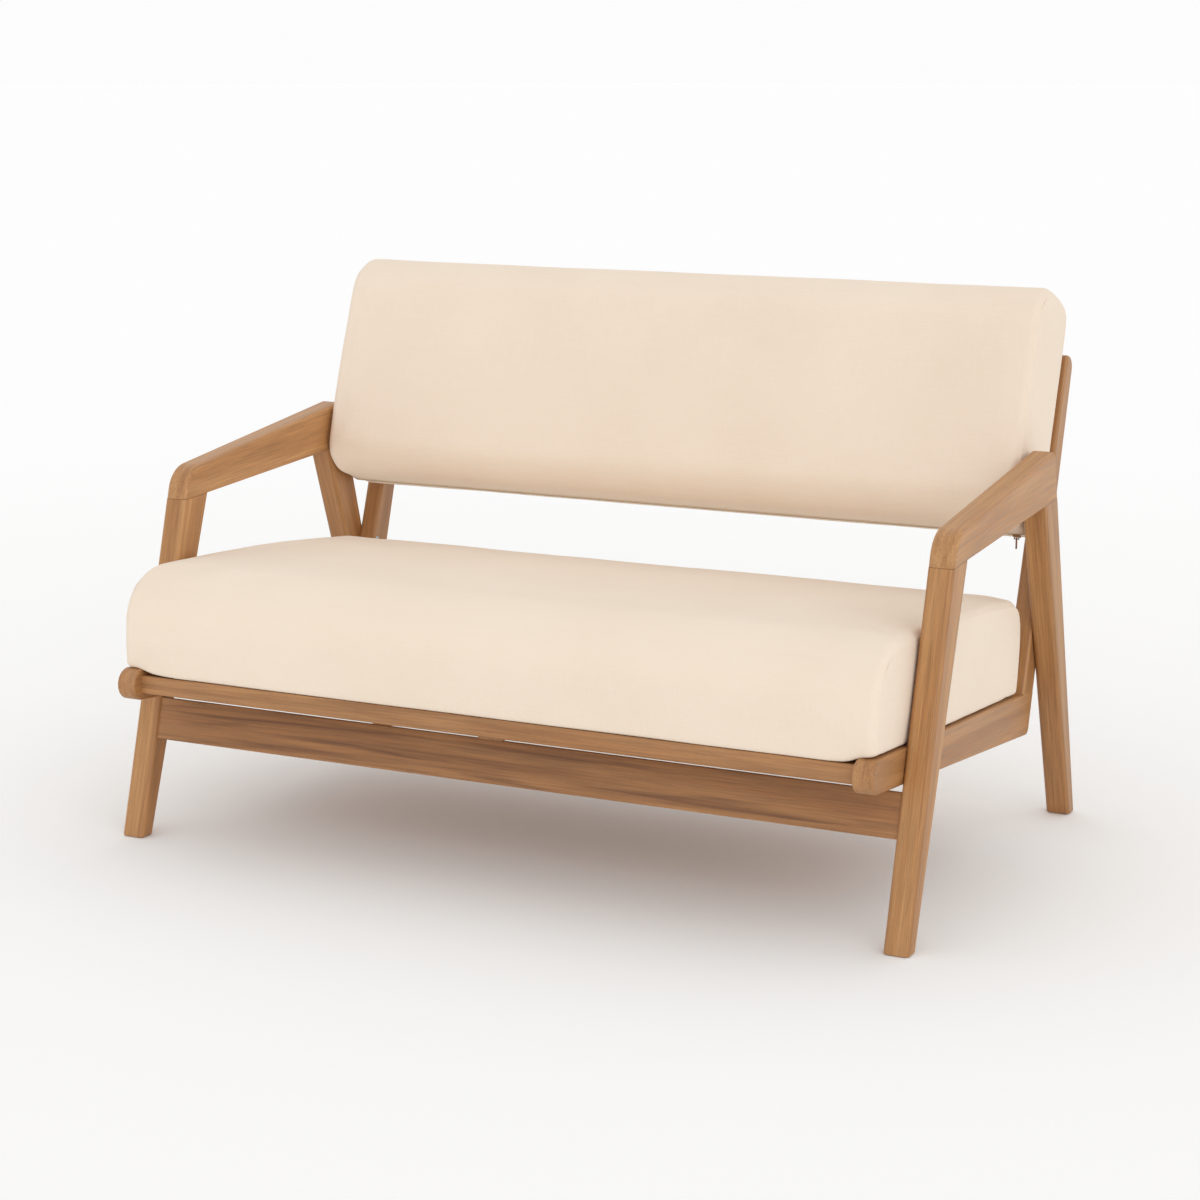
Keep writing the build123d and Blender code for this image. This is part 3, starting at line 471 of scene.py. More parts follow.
def cushion_grid(shape):
    """Points (x, t, n) and quads of a cushion, and the indices of its two end seams."""
    end_rings = []
    for step in range(EDGE_STEPS + 1):
        turn = math.radians(90 * step / EDGE_STEPS * SEAM_TURN)
        x = shape.half - shape.edge * (1 - math.sin(turn))
        end_rings.append([(x, t, n) for t, n in shape.ring(shape.edge * (1 - math.cos(turn)))])
    count = round(2 * (shape.half - shape.edge) / CELL)
    flat = [
        [(x * (2 * k / count - 1), t, n) for x, t, n in end_rings[0]] for k in range(1, count)
    ]
    left = [[(-x, t, n) for x, t, n in ring] for ring in reversed(end_rings)]
    rings = left + flat + end_rings
    size = len(rings[0])
    points = [point for ring in rings for point in ring]
    faces = ring_quads(0, size, len(rings))
    cols, rows = len(shape.long_shares) - 1, len(shape.short_shares) - 1
    last = (len(rings) - 1) * size
    for start, sign in ((0, -1), (last, 1)):
        faces += gusset(shape, points, start, size, sign, cols, rows)
    return points, faces, list(range(size)) + list(range(last, last + size))


def gusset(shape, points, start, size, sign, cols, rows):
    """Fills one end ring with a grid that bulges out to the cushion's full half width."""
    grid = {}
    for c in range(cols + 1):
        grid[(c, 0)] = start + c
        grid[(cols - c, rows)] = start + (cols + rows + c) % size
    for r in range(rows + 1):
        grid[(cols, r)] = start + (cols + r) % size
        grid[(0, rows - r)] = start + (2 * cols + rows + r) % size
    corners = [Vector(points[grid[key]]) for key in ((0, 0), (cols, 0), (0, rows), (cols, rows))]
    for c in range(1, cols):
        for r in range(1, rows):
            u, v = shape.long_shares[c], shape.short_shares[r]
            edges = [Vector(points[grid[key]]) for key in ((c, 0), (c, rows), (0, r), (cols, r))]
            spot = edges[0] * (1 - v) + edges[1] * v + edges[2] * (1 - u) + edges[3] * u
            spot -= corners[0] * (1 - u) * (1 - v) + corners[1] * u * (1 - v)
            spot -= corners[2] * (1 - u) * v + corners[3] * u * v
            gap_t = min(u, 1 - u) * (shape.high - shape.low)
            gap_n = min(v, 1 - v) * (shape.top - shape.floor)
            near = 1 - (1 - min(min(gap_t, gap_n) / GUSSET_REACH, 1)) ** GUSSET_POWER
            spot.x = sign * (abs(spot.x) + (shape.half - abs(spot.x)) * near)
            grid[(c, r)] = len(points)
            points.append(tuple(spot))
    return [
        (grid[(c, r)], grid[(c + 1, r)], grid[(c + 1, r + 1)], grid[(c, r + 1)])
        for c in range(cols)
        for r in range(rows)
    ]


def swell(piece, pinned, most):
    """Inflates a cushion's panels between its seams with a short cloth simulation."""
    rest = [v.co.copy() for v in piece.data.vertices]
    group = piece.vertex_groups.new(name="seams")
    group.add(pinned, 1.0, "REPLACE")
    cloth = piece.modifiers.new("cloth", "CLOTH")
    settings = cloth.settings
    settings.quality = 5
    settings.mass = 0.4
    settings.tension_stiffness = 40
    settings.compression_stiffness = 40
    settings.shear_stiffness = 15
    settings.bending_stiffness = 4
    settings.use_pressure = True
    settings.uniform_pressure_force = 4
    settings.vertex_group_mass = "seams"
    settings.effector_weights.gravity = 0
    cloth.point_cache.frame_start = 1
    cloth.point_cache.frame_end = SWELL_FRAMES
    scene = bpy.context.scene
    for step in range(1, SWELL_FRAMES + 1):
        scene.frame_set(step)
    view = bpy.context.evaluated_depsgraph_get()
    moved = [v.co.copy() for v in piece.evaluated_get(view).data.vertices]
    piece.modifiers.remove(cloth)
    scene.frame_set(1)
    for vertex, start, end in zip(piece.data.vertices, rest, moved):
        step = end - start
        if step.length > most * MM:
            step = step.normalized() * most * MM
        vertex.co = start + step


# Between the side rails the seat cushion's underside, to a height, settles on the slats. Its
# slopes are those beside the left and the right rail, and it ends before the rear panel
BELLY_HALF = 588.0
BELLY_SLOPES = (52.0, 24.0)
BELLY_POWER = 4
BELLY_HEIGHT = 26.0
BELLY_DEPTH = 10.8
BELLY_END = 650
BELLY_END_SLOPE = 24
# The front edge's droop, and how far from the rails' noses it starts
NOSE_DROOP = 1.8
DROOP_START = 25
DROOP_SLOPE = 8
seat_shape = CushionShape(
    half=616.0,
    low=17.8,
    high=664.5,
    floor=0.8,
    top=164.0,
    rounds=(4, 9, 48, 88),
    bows=(0, 9, 9, 6),
    edge=13.0,
    rest_share=0.35,
)
back_shape = CushionShape(
    half=616.0,
    low=245.0,
    high=622.0,
    floor=0.8,
    top=172.4,
    rounds=(18, 36, 60, 55),
    bows=(0, 9, 5.6, 1.5),
    edge=14.0,
    rest_share=1.0,
)


def seat_settled(x, reach, lift):
    """The seat cushion's belly settles between the side rails, and its front edge droops."""
    inside = min(max((BELLY_HALF - abs(x)) / BELLY_SLOPES[x > 0], 0), 1)
    side_share = 1 - (1 - inside) ** BELLY_POWER
    end_share = min(max((BELLY_END - reach) / BELLY_END_SLOPE, 0), 1)
    settle = side_share * end_share * end_share * (3 - 2 * end_share)
    low_share = max(0.0, 1 - lift / BELLY_HEIGHT)
    front_share = min(max((DROOP_START - reach) / DROOP_SLOPE, 0), 1)
    droop = NOSE_DROOP * (1 - settle) * front_share
    return x, reach, lift - (BELLY_DEPTH * settle + droop) * low_share


def as_drawn(x, rise, proud):
    """The back cushion rests on nothing, so it keeps the shape it was cut to."""
    return x, rise, proud


# Lines that the zips run on, so that the panels can be kept flat under their tapes
BACK_ZIP_PROUD = 65.3
BACK_ZIP_RISE = 283.5
BACK_ZIP_HALF = 616.8
BACK_ZIP_LOW = 244.0
BACK_ZIP_ROUND = 17.0
SEAT_ZIP_HALF = 575.0
SEAT_ZIP_REACH = 674.6
SEAT_ZIP_LIFT = 77.65
# Each tape's seat in its panel, and the flat bed round it with its slope
TAPE_SEAT = 0.15
BED_HALF = 8.0
BED_EASE = 12.0
BED_PAST_END = 4
REAR_PANEL = 20


def bed_share(off_line, past_end):
    """How far a panel point is drawn to the zip's line: 1 under the tapes, 0 beyond them."""
    share = 1 - min(max(abs(off_line) - BED_HALF, past_end, 0) / BED_EASE, 1)
    return share * share * (3 - 2 * share)


def seat_zip_bed(spot):
    """The seat cushion's rear panel lies flat under the tapes."""
    if spot.y > SEAT_ZIP_REACH - REAR_PANEL:
        share = bed_share(spot.z - SEAT_ZIP_LIFT, abs(spot.x) - SEAT_ZIP_HALF - BED_PAST_END)
        spot.y += (SEAT_ZIP_REACH - TAPE_SEAT - spot.y) * share


def back_zip_bed(spot):
    """The back cushion's underside and the foot of each gusset lie flat under the tapes."""
    off_line = spot.z - BACK_ZIP_PROUD
    flat = BACK_ZIP_HALF - BACK_ZIP_ROUND
    if spot.y < BACK_ZIP_LOW + BACK_ZIP_ROUND:
        share = bed_share(off_line, abs(spot.x) - flat)
        spot.y += (BACK_ZIP_LOW + TAPE_SEAT - spot.y) * share
    if abs(spot.x) > flat:
        past_end = max(spot.y - BACK_ZIP_RISE, BACK_ZIP_LOW + BACK_ZIP_ROUND - spot.y)
        share = bed_share(off_line, past_end)
        spot.x += (math.copysign(BACK_ZIP_HALF - TAPE_SEAT, spot.x) - spot.x) * share


def make_cushion(name, shape, place, axes, settled, zip_bed, material, body, limits):
    """One filled cushion: swollen, kept in its space, and drawn in along its seams."""
    points, faces, seam = cushion_grid(shape)
    world = [place(*settled(*point)) for point in points]
    piece = mesh_piece(name, world, faces, material, body)
    swell(piece, seam, MOST_SWELL)
    origin, along, out = axes
    half, low, high, floor, top = limits
    middle = Vector((0, (shape.low + shape.high) / 2, (shape.floor + shape.top) / 2))
    sewn = set(seam)
    normals = [v.normal.copy() for v in piece.data.vertices]
    for index, vertex in enumerate(piece.data.vertices):
        offset = vertex.co / MM - origin
        spot = Vector((offset.x, offset.dot(along), offset.dot(out)))
        way = normals[index]
        way = Vector((way.x, way.dot(along), way.dot(out)))
        wave = Vector([spot[k] / WAVE_SIZE[k] for k in range(3)])
        ripple = RIPPLE_DEPTH * noise.noise(wave * RIPPLE_FINER)
        spot += way * (WAVE_DEPTH * noise.noise(wave) + ripple)
        if index in sewn:
            spot -= way * SEAM_DEPTH
        zip_bed(spot)
        spot.x = min(max(spot.x, -half), half)
        spot.y = min(max(spot.y, low), high)
        spot.z = min(max(spot.z, floor), top)
        vertex.co = (origin + Vector((spot.x, 0, 0)) + along * spot.y + out * spot.z) * MM
    folds = piece.data.attributes.new("crease_edge", "FLOAT", "EDGE")
    for edge in piece.data.edges:
        if edge.vertices[0] in sewn and edge.vertices[1] in sewn:
            folds.data[edge.index].value = SEAM_CREASE
    finer = piece.modifiers.new("finer", "SUBSURF")
    finer.levels = 2
    finer.render_levels = 2
    return piece


SEAT_AXES = (SEAT_ORIGIN, SEAT_OUT, SEAT_UP)
BACK_AXES = (BACK_ORIGIN, BACK_UP, BACK_OUT)
# Room between the legs, then low, high, floor and top, which no point of a cushion passes
CUSHION_ROOM = 618.0
SEAT_LIMITS = (CUSHION_ROOM, 9.0, 675.5, -9.7, 166.0)
BACK_LIMITS = (CUSHION_ROOM, 242.5, 631.0, 0.3, 175.5)
seat_cushion = make_cushion(
    "seat_cushion_filled",
    seat_shape,
    seat_place,
    SEAT_AXES,
    seat_settled,
    seat_zip_bed,
    seat_canvas,
    "seat_cushion",
    SEAT_LIMITS,
)

# In front of the left leg the filling has room, so that corner stands out a little, most at
# its top. It ends, by its reach from the nose, before the leg's front face
CORNER_END = 118.0
CORNER_SLOPE = 56.0
CORNER_WIDE = 150.0
CORNER_OUT = 6.5
CORNER_TOP_OUT = 3.0
CORNER_TOP_START = 60
for vertex in seat_cushion.data.vertices:
    offset = vertex.co / MM - SEAT_ORIGIN
    end_share = min(max((CORNER_END - offset.dot(SEAT_OUT)) / CORNER_SLOPE, 0), 1)
    side_share = min(max(1 - (CUSHION_ROOM + offset.x) / CORNER_WIDE, 0), 1)
    top_share = min(max(offset.dot(SEAT_UP) / CORNER_TOP_START - 1, 0), 1)
    share = side_share**2 * end_share**2 * (3 - 2 * end_share)
    vertex.co.x -= (CORNER_OUT + CORNER_TOP_OUT * top_share) * share * MM

back_cushion = make_cushion(
    "back_cushion_filled",
    back_shape,
    back_place,
    BACK_AXES,
    as_drawn,
    back_zip_bed,
    back_canvas,
    "back_cushion",
    BACK_LIMITS,
)
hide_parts("seat_cushion_cover", "seat_cushion_core")
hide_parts("back_cushion_cover", "back_cushion_core")


# Zips: two woven tapes and a nylon coil on each chain, along the line that the CAD gives it

TAPE_HALF = 6.0
TAPE_THICK = 0.8
TAPE_SIDE = 0.55
TAPE_ROUND = 0.6
TAPE_GAP = 0.3
COIL_HALF = 2.5
COIL_TOP = 1.7
COIL_PITCH = 2.6
COIL_END_GAP = 3.0
# Steps along each stretch of a zip's route
GUSSET_STEPS = 6
CORNER_STEPS = 8
UNDERSIDE_STEPS = 60
REAR_STEPS = 120
# One coil turn, by how far it is over the middle: its foot, its top and its half thickness
COIL_RINGS = (
    (-0.9, 0.6, 1.4, 0.45),
    (0.2, 0.6, COIL_TOP, 0.62),
    (1.8, 0.6, COIL_TOP, 0.5),
    (COIL_HALF, 0.5, 1.3, 0.36),
)


def zip_piece(name, route, across, covers, body):
    """A zip chain along a route of (point, outward) pairs in metres: its tapes and its coil."""
    points = []
    profile = [
        (-TAPE_HALF, 0.0),
        (-TAPE_HALF, TAPE_SIDE),
        (-TAPE_HALF + TAPE_ROUND, TAPE_THICK),
        (-COIL_HALF - TAPE_GAP, TAPE_THICK * 0.8),
        (-TAPE_GAP, TAPE_THICK * 0.7),
        (TAPE_GAP, TAPE_THICK * 0.7),
        (COIL_HALF + TAPE_GAP, TAPE_THICK * 0.8),
        (TAPE_HALF - TAPE_ROUND, TAPE_THICK),
        (TAPE_HALF, TAPE_SIDE),
        (TAPE_HALF, 0.0),
    ]
    for spot, out in route:
        points += [spot + across * (a * MM) + out * (h * MM) for a, h in profile]
    faces = capped_tube(0, len(profile), len(route))
    tape = mesh_piece(
        name + "_tape", points, faces, polyester_tape, body, smooth=False
    )
    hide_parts(*covers)
    runs = [0.0]
    for (a, _), (c, _) in zip(route, route[1:]):
        runs.append(runs[-1] + (c - a).length / MM)
    points, faces = [], []
    goal, i, side = COIL_END_GAP, 0, 1
    while goal < runs[-1] - COIL_END_GAP:
        while runs[i + 1] < goal:
            i += 1
        part = (goal - runs[i]) / (runs[i + 1] - runs[i])
        spot = route[i][0].lerp(route[i + 1][0], part)
        out = route[i][1].lerp(route[i + 1][1], part).normalized()
        way = out.cross(across).normalized()
        coil_tooth(points, faces, spot, way, across * side, out)
        goal += COIL_PITCH / 2
        side = -side
    mesh_piece(name + "_coil", points, faces, nylon_coil, body)


def coil_tooth(points, faces, spot, way, across, out):
    """One coil turn: a rounded bar from one tape over the middle, a little beyond it."""
    start = len(points)
    for reach, low, high, half in COIL_RINGS:
        for lift, turn in ((low, -half), (high, -half * 0.6), (high, half * 0.6), (low, half)):
            points.append(spot + (across * reach + out * lift + way * turn) * MM)
    faces += capped_tube(start, 4, len(COIL_RINGS))


def straight(place, start, end, out, count):
    """Route points on a straight stretch between two local points."""
    route = []
    for i in range(count + 1):
        local = [start[k] + (end[k] - start[k]) * i / count for k in range(3)]
        route.append((place(*local), out))
    return route


def back_zip_route():
    """Down the right gusset, along the underside and up the left gusset, its mirror."""
    right = straight(
        back_place,
        (BACK_ZIP_HALF, BACK_ZIP_RISE, BACK_ZIP_PROUD),
        (BACK_ZIP_HALF, BACK_ZIP_LOW + BACK_ZIP_ROUND, BACK_ZIP_PROUD),
        X_WAY,
        GUSSET_STEPS,
    )
    for step in range(1, CORNER_STEPS):
        turn = math.radians(90 * step / CORNER_STEPS)
        x = BACK_ZIP_HALF - BACK_ZIP_ROUND * (1 - math.cos(turn))
        rise = BACK_ZIP_LOW + BACK_ZIP_ROUND * (1 - math.sin(turn))
        out = X_WAY * math.cos(turn) - BACK_UP * math.sin(turn)
        right.append((back_place(x, rise, BACK_ZIP_PROUD), out))
    flat = BACK_ZIP_HALF - BACK_ZIP_ROUND
    right += straight(
        back_place,
        (flat, BACK_ZIP_LOW, BACK_ZIP_PROUD),
        (0, BACK_ZIP_LOW, BACK_ZIP_PROUD),
        -BACK_UP,
        UNDERSIDE_STEPS,
    )
    mirror = Vector((-1, 1, 1))
    left = [(spot * mirror, out * mirror) for spot, out in reversed(right[:-1])]
    return right + left


zip_piece("back_zip", back_zip_route(), BACK_OUT, ("back_cushion_zip",), "back_cushion")
zip_piece(
    "seat_zip",
    straight(
        seat_place,
        (SEAT_ZIP_HALF, SEAT_ZIP_REACH, SEAT_ZIP_LIFT),
        (-SEAT_ZIP_HALF, SEAT_ZIP_REACH, SEAT_ZIP_LIFT),
        SEAT_OUT,
        REAR_STEPS,
    ),
    SEAT_UP,
    ("seat_cushion_zip",),
    "seat_cushion",
)


# Webbing straps: sewn to the back cushion, over the top back rail and down behind it

STRAP_PLACES = (-400.0, 0.0, 400.0)
STRAP_HALF = 25.0
STRAP_HALF_THICK = 1.15
STRAP_SEWN_END = 552.0
STRAP_REST = 519.5
STRAP_BACK = -21.5
STRAP_FREE_END = 445.5
STRAP_BEND = 3.4
STRAP_FRONT = -0.9
# Rises of the strap's points between the rail and the hem
STRAP_HANG = (506.0, 490.0, 474.0)
STRAP_STEP = 6.0
SELVEDGE = 1.4
SELVEDGE_SIDE = 0.5
# The hem is folded once, so it is a little thicker at the back
HEM_LENGTH = 20.0
HEM_FULLER = 0.5
STITCH_PITCH = 4.2
STITCH_LENGTH = 3.0
STITCH_HALF = 0.55
STITCH_SUNK = 0.08
# A stitch along its length: place, half width and lift, as shares of the thread's
STITCH_RINGS = ((-0.5, 0.3, 0.0), (-0.25, 1.0, 1.0), (0.25, 1.0, 1.0), (0.5, 0.3, 0.0))
# The stitched box in the hem, in from its low end, its high end and the selvedges
BOX_LOW_IN = 3.5
BOX_HIGH_IN = 3.0
BOX_SIDE_IN = 4


def strap_line():
    """The strap's middle line as (rise, proud, outward rise, outward proud), front to back."""
    line = [(STRAP_SEWN_END - STRAP_STEP * k, STRAP_FRONT, 0, 1) for k in range(5)]
    for centre_proud, start in ((STRAP_FRONT - STRAP_BEND, 0), (STRAP_BACK + STRAP_BEND, 90)):
        for step in range(6):
            turn = math.radians(start + 90 * step / 5)
            way = (math.sin(turn), math.cos(turn))
            rise = STRAP_REST - STRAP_BEND + STRAP_BEND * way[0]
            line.append((rise, centre_proud + STRAP_BEND * way[1], way[0], way[1]))
    hem = STRAP_FREE_END + HEM_LENGTH
    rises = STRAP_HANG + (hem + 1, hem, STRAP_FREE_END + STRAP_STEP, STRAP_FREE_END)
    return line + [(rise, STRAP_BACK, 0, -1) for rise in rises]


def make_strap(name, middle):
    """A flat ribbon with rounded selvedges and a folded hem at its free end."""
    half, thick = STRAP_HALF, STRAP_HALF_THICK
    profile = [(-half, 0), (-half + SELVEDGE_SIDE, thick * 0.8), (-half + SELVEDGE, thick)]
    profile += [(-half / 3, thick), (half / 3, thick)]
    profile += [(half - SELVEDGE, thick), (half - SELVEDGE_SIDE, thick * 0.8), (half, 0)]
    profile += [(x, -h) for x, h in reversed(profile[1:-1])]
    points = []
    line = strap_line()
    for index, (rise, proud, up, out) in enumerate(line):
        fuller = HEM_FULLER if index >= len(line) - 3 else 0.0
        for x, height in profile:
            lift = height + (fuller if height > 0 else 0.0)
            points.append(back_place(middle + x, rise + up * lift, proud + out * lift))
    faces = capped_tube(0, len(profile), len(line))
    return mesh_piece(name, points, faces, polypropylene_webbing, "back_cushion")


def stitch_row(points, faces, start, end, out):
    """Lockstitches as short raised threads between two points in metres."""
    way = end - start
    count = max(1, int(way.length / MM / STITCH_PITCH))
    way.normalize()
    side = way.cross(out).normalized()
    for k in range(count):
        spot = start + (end - start) * ((k + 0.5) / count)
        first = len(points)
        for reach, half, lift in STITCH_RINGS:
            base = spot + way * (reach * STITCH_LENGTH * MM)
            for across, rise in ((-1, 0), (-0.5, 1), (0.5, 1), (1, 0)):
                move = side * (across * half) + out * (rise * (0.25 + 0.75 * lift))
                points.append(base + move * (STITCH_HALF * MM))
        faces += capped_tube(first, 4, len(STITCH_RINGS))


thread_points, thread_faces = [], []
HEM_TOP = STRAP_BACK - STRAP_HALF_THICK - HEM_FULLER + STITCH_SUNK
for number, middle in enumerate(STRAP_PLACES, 1):
    make_strap(f"hanging_strap_{number}", middle)
    low, high = STRAP_FREE_END + BOX_LOW_IN, STRAP_FREE_END + HEM_LENGTH - BOX_HIGH_IN
    left, right = middle - STRAP_HALF + BOX_SIDE_IN, middle + STRAP_HALF - BOX_SIDE_IN
    box = [(left, low), (right, low), (right, high), (left, high)]
    runs = [(box[k], box[(k + 1) % 4]) for k in range(4)] + [(box[0], box[2]), (box[1], box[3])]
    for (x1, rise1), (x2, rise2) in runs:
        stitch_row(
            thread_points,
            thread_faces,
            back_place(x1, rise1, HEM_TOP),
            back_place(x2, rise2, HEM_TOP),
            -BACK_OUT,
        )
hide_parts("back_cushion_straps")
mesh_piece("strap_stitches", thread_points, thread_faces, bonded_thread, "back_cushion")


# Seam shade lines: painted shade, a thin dark line round the seams between the legs and the
# armrests

SEAM_SHADE_HALF = 0.7
SEAM_SHADE_PROUD = 0.12
SEAM_SHADE_DEEP = 0.3
# A leg's top faces look up by this much and lie this near its top
LEVEL_ENOUGH = 0.95
TOP_BAND = 8


def top_outline(node):
    """The outer edge of a leg's top face, in order, and the face's normal."""
    mesh = node.data
    high = max(v.co.z for v in mesh.vertices)
    low = high - TOP_BAND * MM
    tops = [p for p in mesh.polygons if p.normal.z > LEVEL_ENOUGH and p.center.z > low]
    spots, uses = {}, {}
    for face in tops:
        keys = []
        for index in face.vertices:
            spot = mesh.vertices[index].co
            key = tuple(round(c, 6) for c in spot)
            spots[key] = spot
            keys.append(key)
        for i, key in enumerate(keys):
            pair = frozenset((key, keys[(i + 1) % len(keys)]))
            uses[pair] = uses.get(pair, 0) + 1
    links = {}
    for pair, count in uses.items():
        if count == 1:
            first, second = pair
            links.setdefault(first, []).append(second)
            links.setdefault(second, []).append(first)
    start = min(links, key=lambda key: key[0])
    ring, last, here = [start], None, start
    while True:
        following = next(key for key in links[here] if key != last)
        if following == start:
            break
        ring.append(following)
        last, here = here, following
    return [spots[key] for key in ring], tops[0].normal.copy()


def seam_shade_line(points, faces, ring, up):
    """A thin raised line of painted shade round one joint, where its seam's groove is shaded."""
    middle = sum(ring, Vector()) / len(ring)
    size = len(ring)
    profile = (
        (-SEAM_SHADE_HALF, -SEAM_SHADE_DEEP),
        (-SEAM_SHADE_HALF, 0.0),
        (-SEAM_SHADE_HALF / 2, SEAM_SHADE_PROUD),
        (SEAM_SHADE_HALF / 2, SEAM_SHADE_PROUD),
        (SEAM_SHADE_HALF, 0.0),
        (SEAM_SHADE_HALF, -SEAM_SHADE_DEEP),
    )
    first = len(points)
    for i, spot in enumerate(ring):
        way = (ring[(i + 1) % size] - ring[i - 1]).normalized()
        out = way.cross(up).normalized()
        if out.dot(spot - middle) < 0:
            out = -out
        points += [spot + (up * a + out * h) * MM for a, h in profile]
    count = len(profile)
    for r in range(size):
        a, b = first + r * count, first + (r + 1) % size * count
        for i in range(count):
            j = (i + 1) % count
            faces.append((a + i, a + j, b + j, b + i))


seam_shade_points, seam_shade_faces = [], []
for name in sorted(nodes):
    if name.endswith("_leg"):
        ring, up = top_outline(nodes[name])
        seam_shade_line(seam_shade_points, seam_shade_faces, ring, up)
# Painted shade of each joint's groove: a thin deep brown line, mottled over 3 mm
seam_shade_paint = plain_finish("oil_darkened_glue", "#432A18", "#573822", (0.003,) * 3, 0.5)
mesh_piece(
    "joint_glue_lines", seam_shade_points, seam_shade_faces, seam_shade_paint, "frame", smooth=False
)


# Bolts: socket-headed, from the inner faces of the posts and cleats into the legs

BOLT_PLACES = {
    "post_bolts": ((685.41, 289.67), (686.50, 370.00)),
    "seat_rail_bolts": ((82.43, 241.72), (102.36, 240.05)),
}
# How far the heads' faces, the thread's start and the tips are from the middle, to each side
HEAD_FACE = 588.6
THREAD_START = 619.0
SHANK_END = 631.5
HEAD_HEIGHT = 2.6
HEAD_RADIUS = 5.2
# The head's rounded edge, as (in from its radius, height)
HEAD_EDGE = ((0.0, -0.7), (0.25, -0.25), (0.8, 0.0))
SHANK_RADIUS = 2.9
SHANK_SLIMMER = 0.1
TIP_SLIMMER = 0.7
TIP_LENGTH = 0.8
THREAD_FIRST = 1.2
THREAD_PITCH = 1.0
THREAD_DEPTH = 0.45
THREAD_END_GAP = 2
SOCKET_RADIUS = 2.3
SOCKET_DEPTH = 1.7
SOCKET_TAPER = 0.9
ROUND_COUNT = 28


def driven_head(work, frame_of, rings, socket, depth):
    """A turned head with a driver socket: rings are (radius, height), heights rise outward."""
    loops = []
    for radius, height in rings:
        loop = []
        for i in range(ROUND_COUNT):
            turn = math.tau * i / ROUND_COUNT
            spot = frame_of(radius * math.cos(turn), radius * math.sin(turn), height)
            loop.append(work.verts.new(spot))
        loops.append(loop)
    for a, b in zip(loops, loops[1:]):
        for i in range(ROUND_COUNT):
            j = (i + 1) % ROUND_COUNT
            work.faces.new((a[i], a[j], b[j], b[i]))
    top = rings[-1][1]
    rim = [work.verts.new(frame_of(x, y, top)) for x, y in socket]
    taper = SOCKET_TAPER
    deep = [work.verts.new(frame_of(x * taper, y * taper, top - depth)) for x, y in socket]
    edges = []
    for loop in (loops[-1], rim):
        for i in range(len(loop)):
            pair = (loop[i], loop[(i + 1) % len(loop)])
            edges.append(work.edges.get(pair) or work.edges.new(pair))
    bmesh.ops.triangle_fill(work, edges=edges, use_beauty=True)
    for i in range(len(rim)):
        j = (i + 1) % len(rim)
        work.faces.new((rim[i], rim[j], deep[j], deep[i]))
    work.faces.new(deep)


def close_mesh(name, work, material, body):
    """A mesh object from finished bmesh work, riding on a body and finished from a slot."""
    mesh = bpy.data.meshes.new(name)
    work.to_mesh(mesh)
    work.free()
    return finished_piece(name, mesh, material, body)


HEX_SOCKET = [
    (SOCKET_RADIUS * math.cos(math.tau * i / 6), SOCKET_RADIUS * math.sin(math.tau * i / 6))
    for i in range(6)
]


def bolt_rings():
    """Rings of a bolt from its tip to the face of its head, by how far they are from the face."""
    length = SHANK_END - HEAD_FACE
    rings = [(SHANK_RADIUS - TIP_SLIMMER, -length), (SHANK_RADIUS, -length + TIP_LENGTH)]
    count = int((SHANK_END - THREAD_START - THREAD_END_GAP) / THREAD_PITCH)
    for k in range(count):
        height = -length + THREAD_FIRST + k * THREAD_PITCH
        rings.append((SHANK_RADIUS - THREAD_DEPTH, height))
        rings.append((SHANK_RADIUS, height + THREAD_PITCH / 2))
    neck = SHANK_RADIUS - SHANK_SLIMMER
    rings += [(neck, THREAD_START - SHANK_END), (neck, -HEAD_HEIGHT), (HEAD_RADIUS, -HEAD_HEIGHT)]
    return rings + [(HEAD_RADIUS - inset, height) for inset, height in HEAD_EDGE]


for node_name, spots in BOLT_PLACES.items():
    work = bmesh.new()
    for side in (-1, 1):
        for depth, height in spots:
            def bolt_point(a, b, out, side=side, depth=depth, height=height):
                spot = (side * (HEAD_FACE - out), depth - MODEL_SHIFT + a, height + b)
                return Vector(spot) * MM

            driven_head(work, bolt_point, bolt_rings(), HEX_SOCKET, SOCKET_DEPTH)
    bolts = close_mesh(f"socket_{node_name}", work, zinc_steel, "frame")
    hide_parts(node_name)


# Screws: one through each slat into each cleat and into the bearer

SCREW_ROWS = (-580.0, 0.0, 580.0)
SLAT_TOP = -10.0
# A screw from its buried point to its head, as (radius, height), and its socket's depth
SCREW_RINGS = ((1.2, -9.0), (1.5, -3.2), (3.9, -0.1), (3.9, 0.06), (3.3, 0.18))
CROSS_DEPTH = 0.9
CROSS_LONG = 2.1
CROSS_HALF = 0.55
# One arm of the cross, which four quarter turns repeat
CROSS_ARM = ((CROSS_LONG, -CROSS_HALF), (CROSS_LONG, CROSS_HALF), (CROSS_HALF, CROSS_HALF))
CROSS_SOCKET = [
    (x * c - y * s, x * s + y * c)
    for c, s in ((1, 0), (0, 1), (-1, 0), (0, -1))
    for x, y in CROSS_ARM
]
work = bmesh.new()
for name in sorted(nodes):
    if not name.startswith("seat_slat"):
        continue
    low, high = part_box(name)
    reach = ((low + high) / 2 / MM - SEAT_ORIGIN).dot(SEAT_OUT)
    for row in SCREW_ROWS:
        def screw_point(a, b, out, row=row, reach=reach):
            return seat_place(row + a, reach + b, SLAT_TOP + out)

        driven_head(work, screw_point, SCREW_RINGS, CROSS_SOCKET, CROSS_DEPTH)
close_mesh("slat_screws", work, zinc_steel, "frame")


# Floor and light

# White that the camera and mirror rays see beyond the floor, and the air's light, which is a
# little stronger from the sides than from above
CLEAR = 0.975
HORIZON = 1.0
ZENITH = 0.87
FLOOR_RADIUS = 60.0
FLOOR_SIDES = 48
FLOOR_LIFT = 0.03
# The floor's paint is lighter from one of these distances to the other, in metres: painted shade,
# darker close to the object
FLOOR_NEAR = 1.0
FLOOR_FAR = 7.0


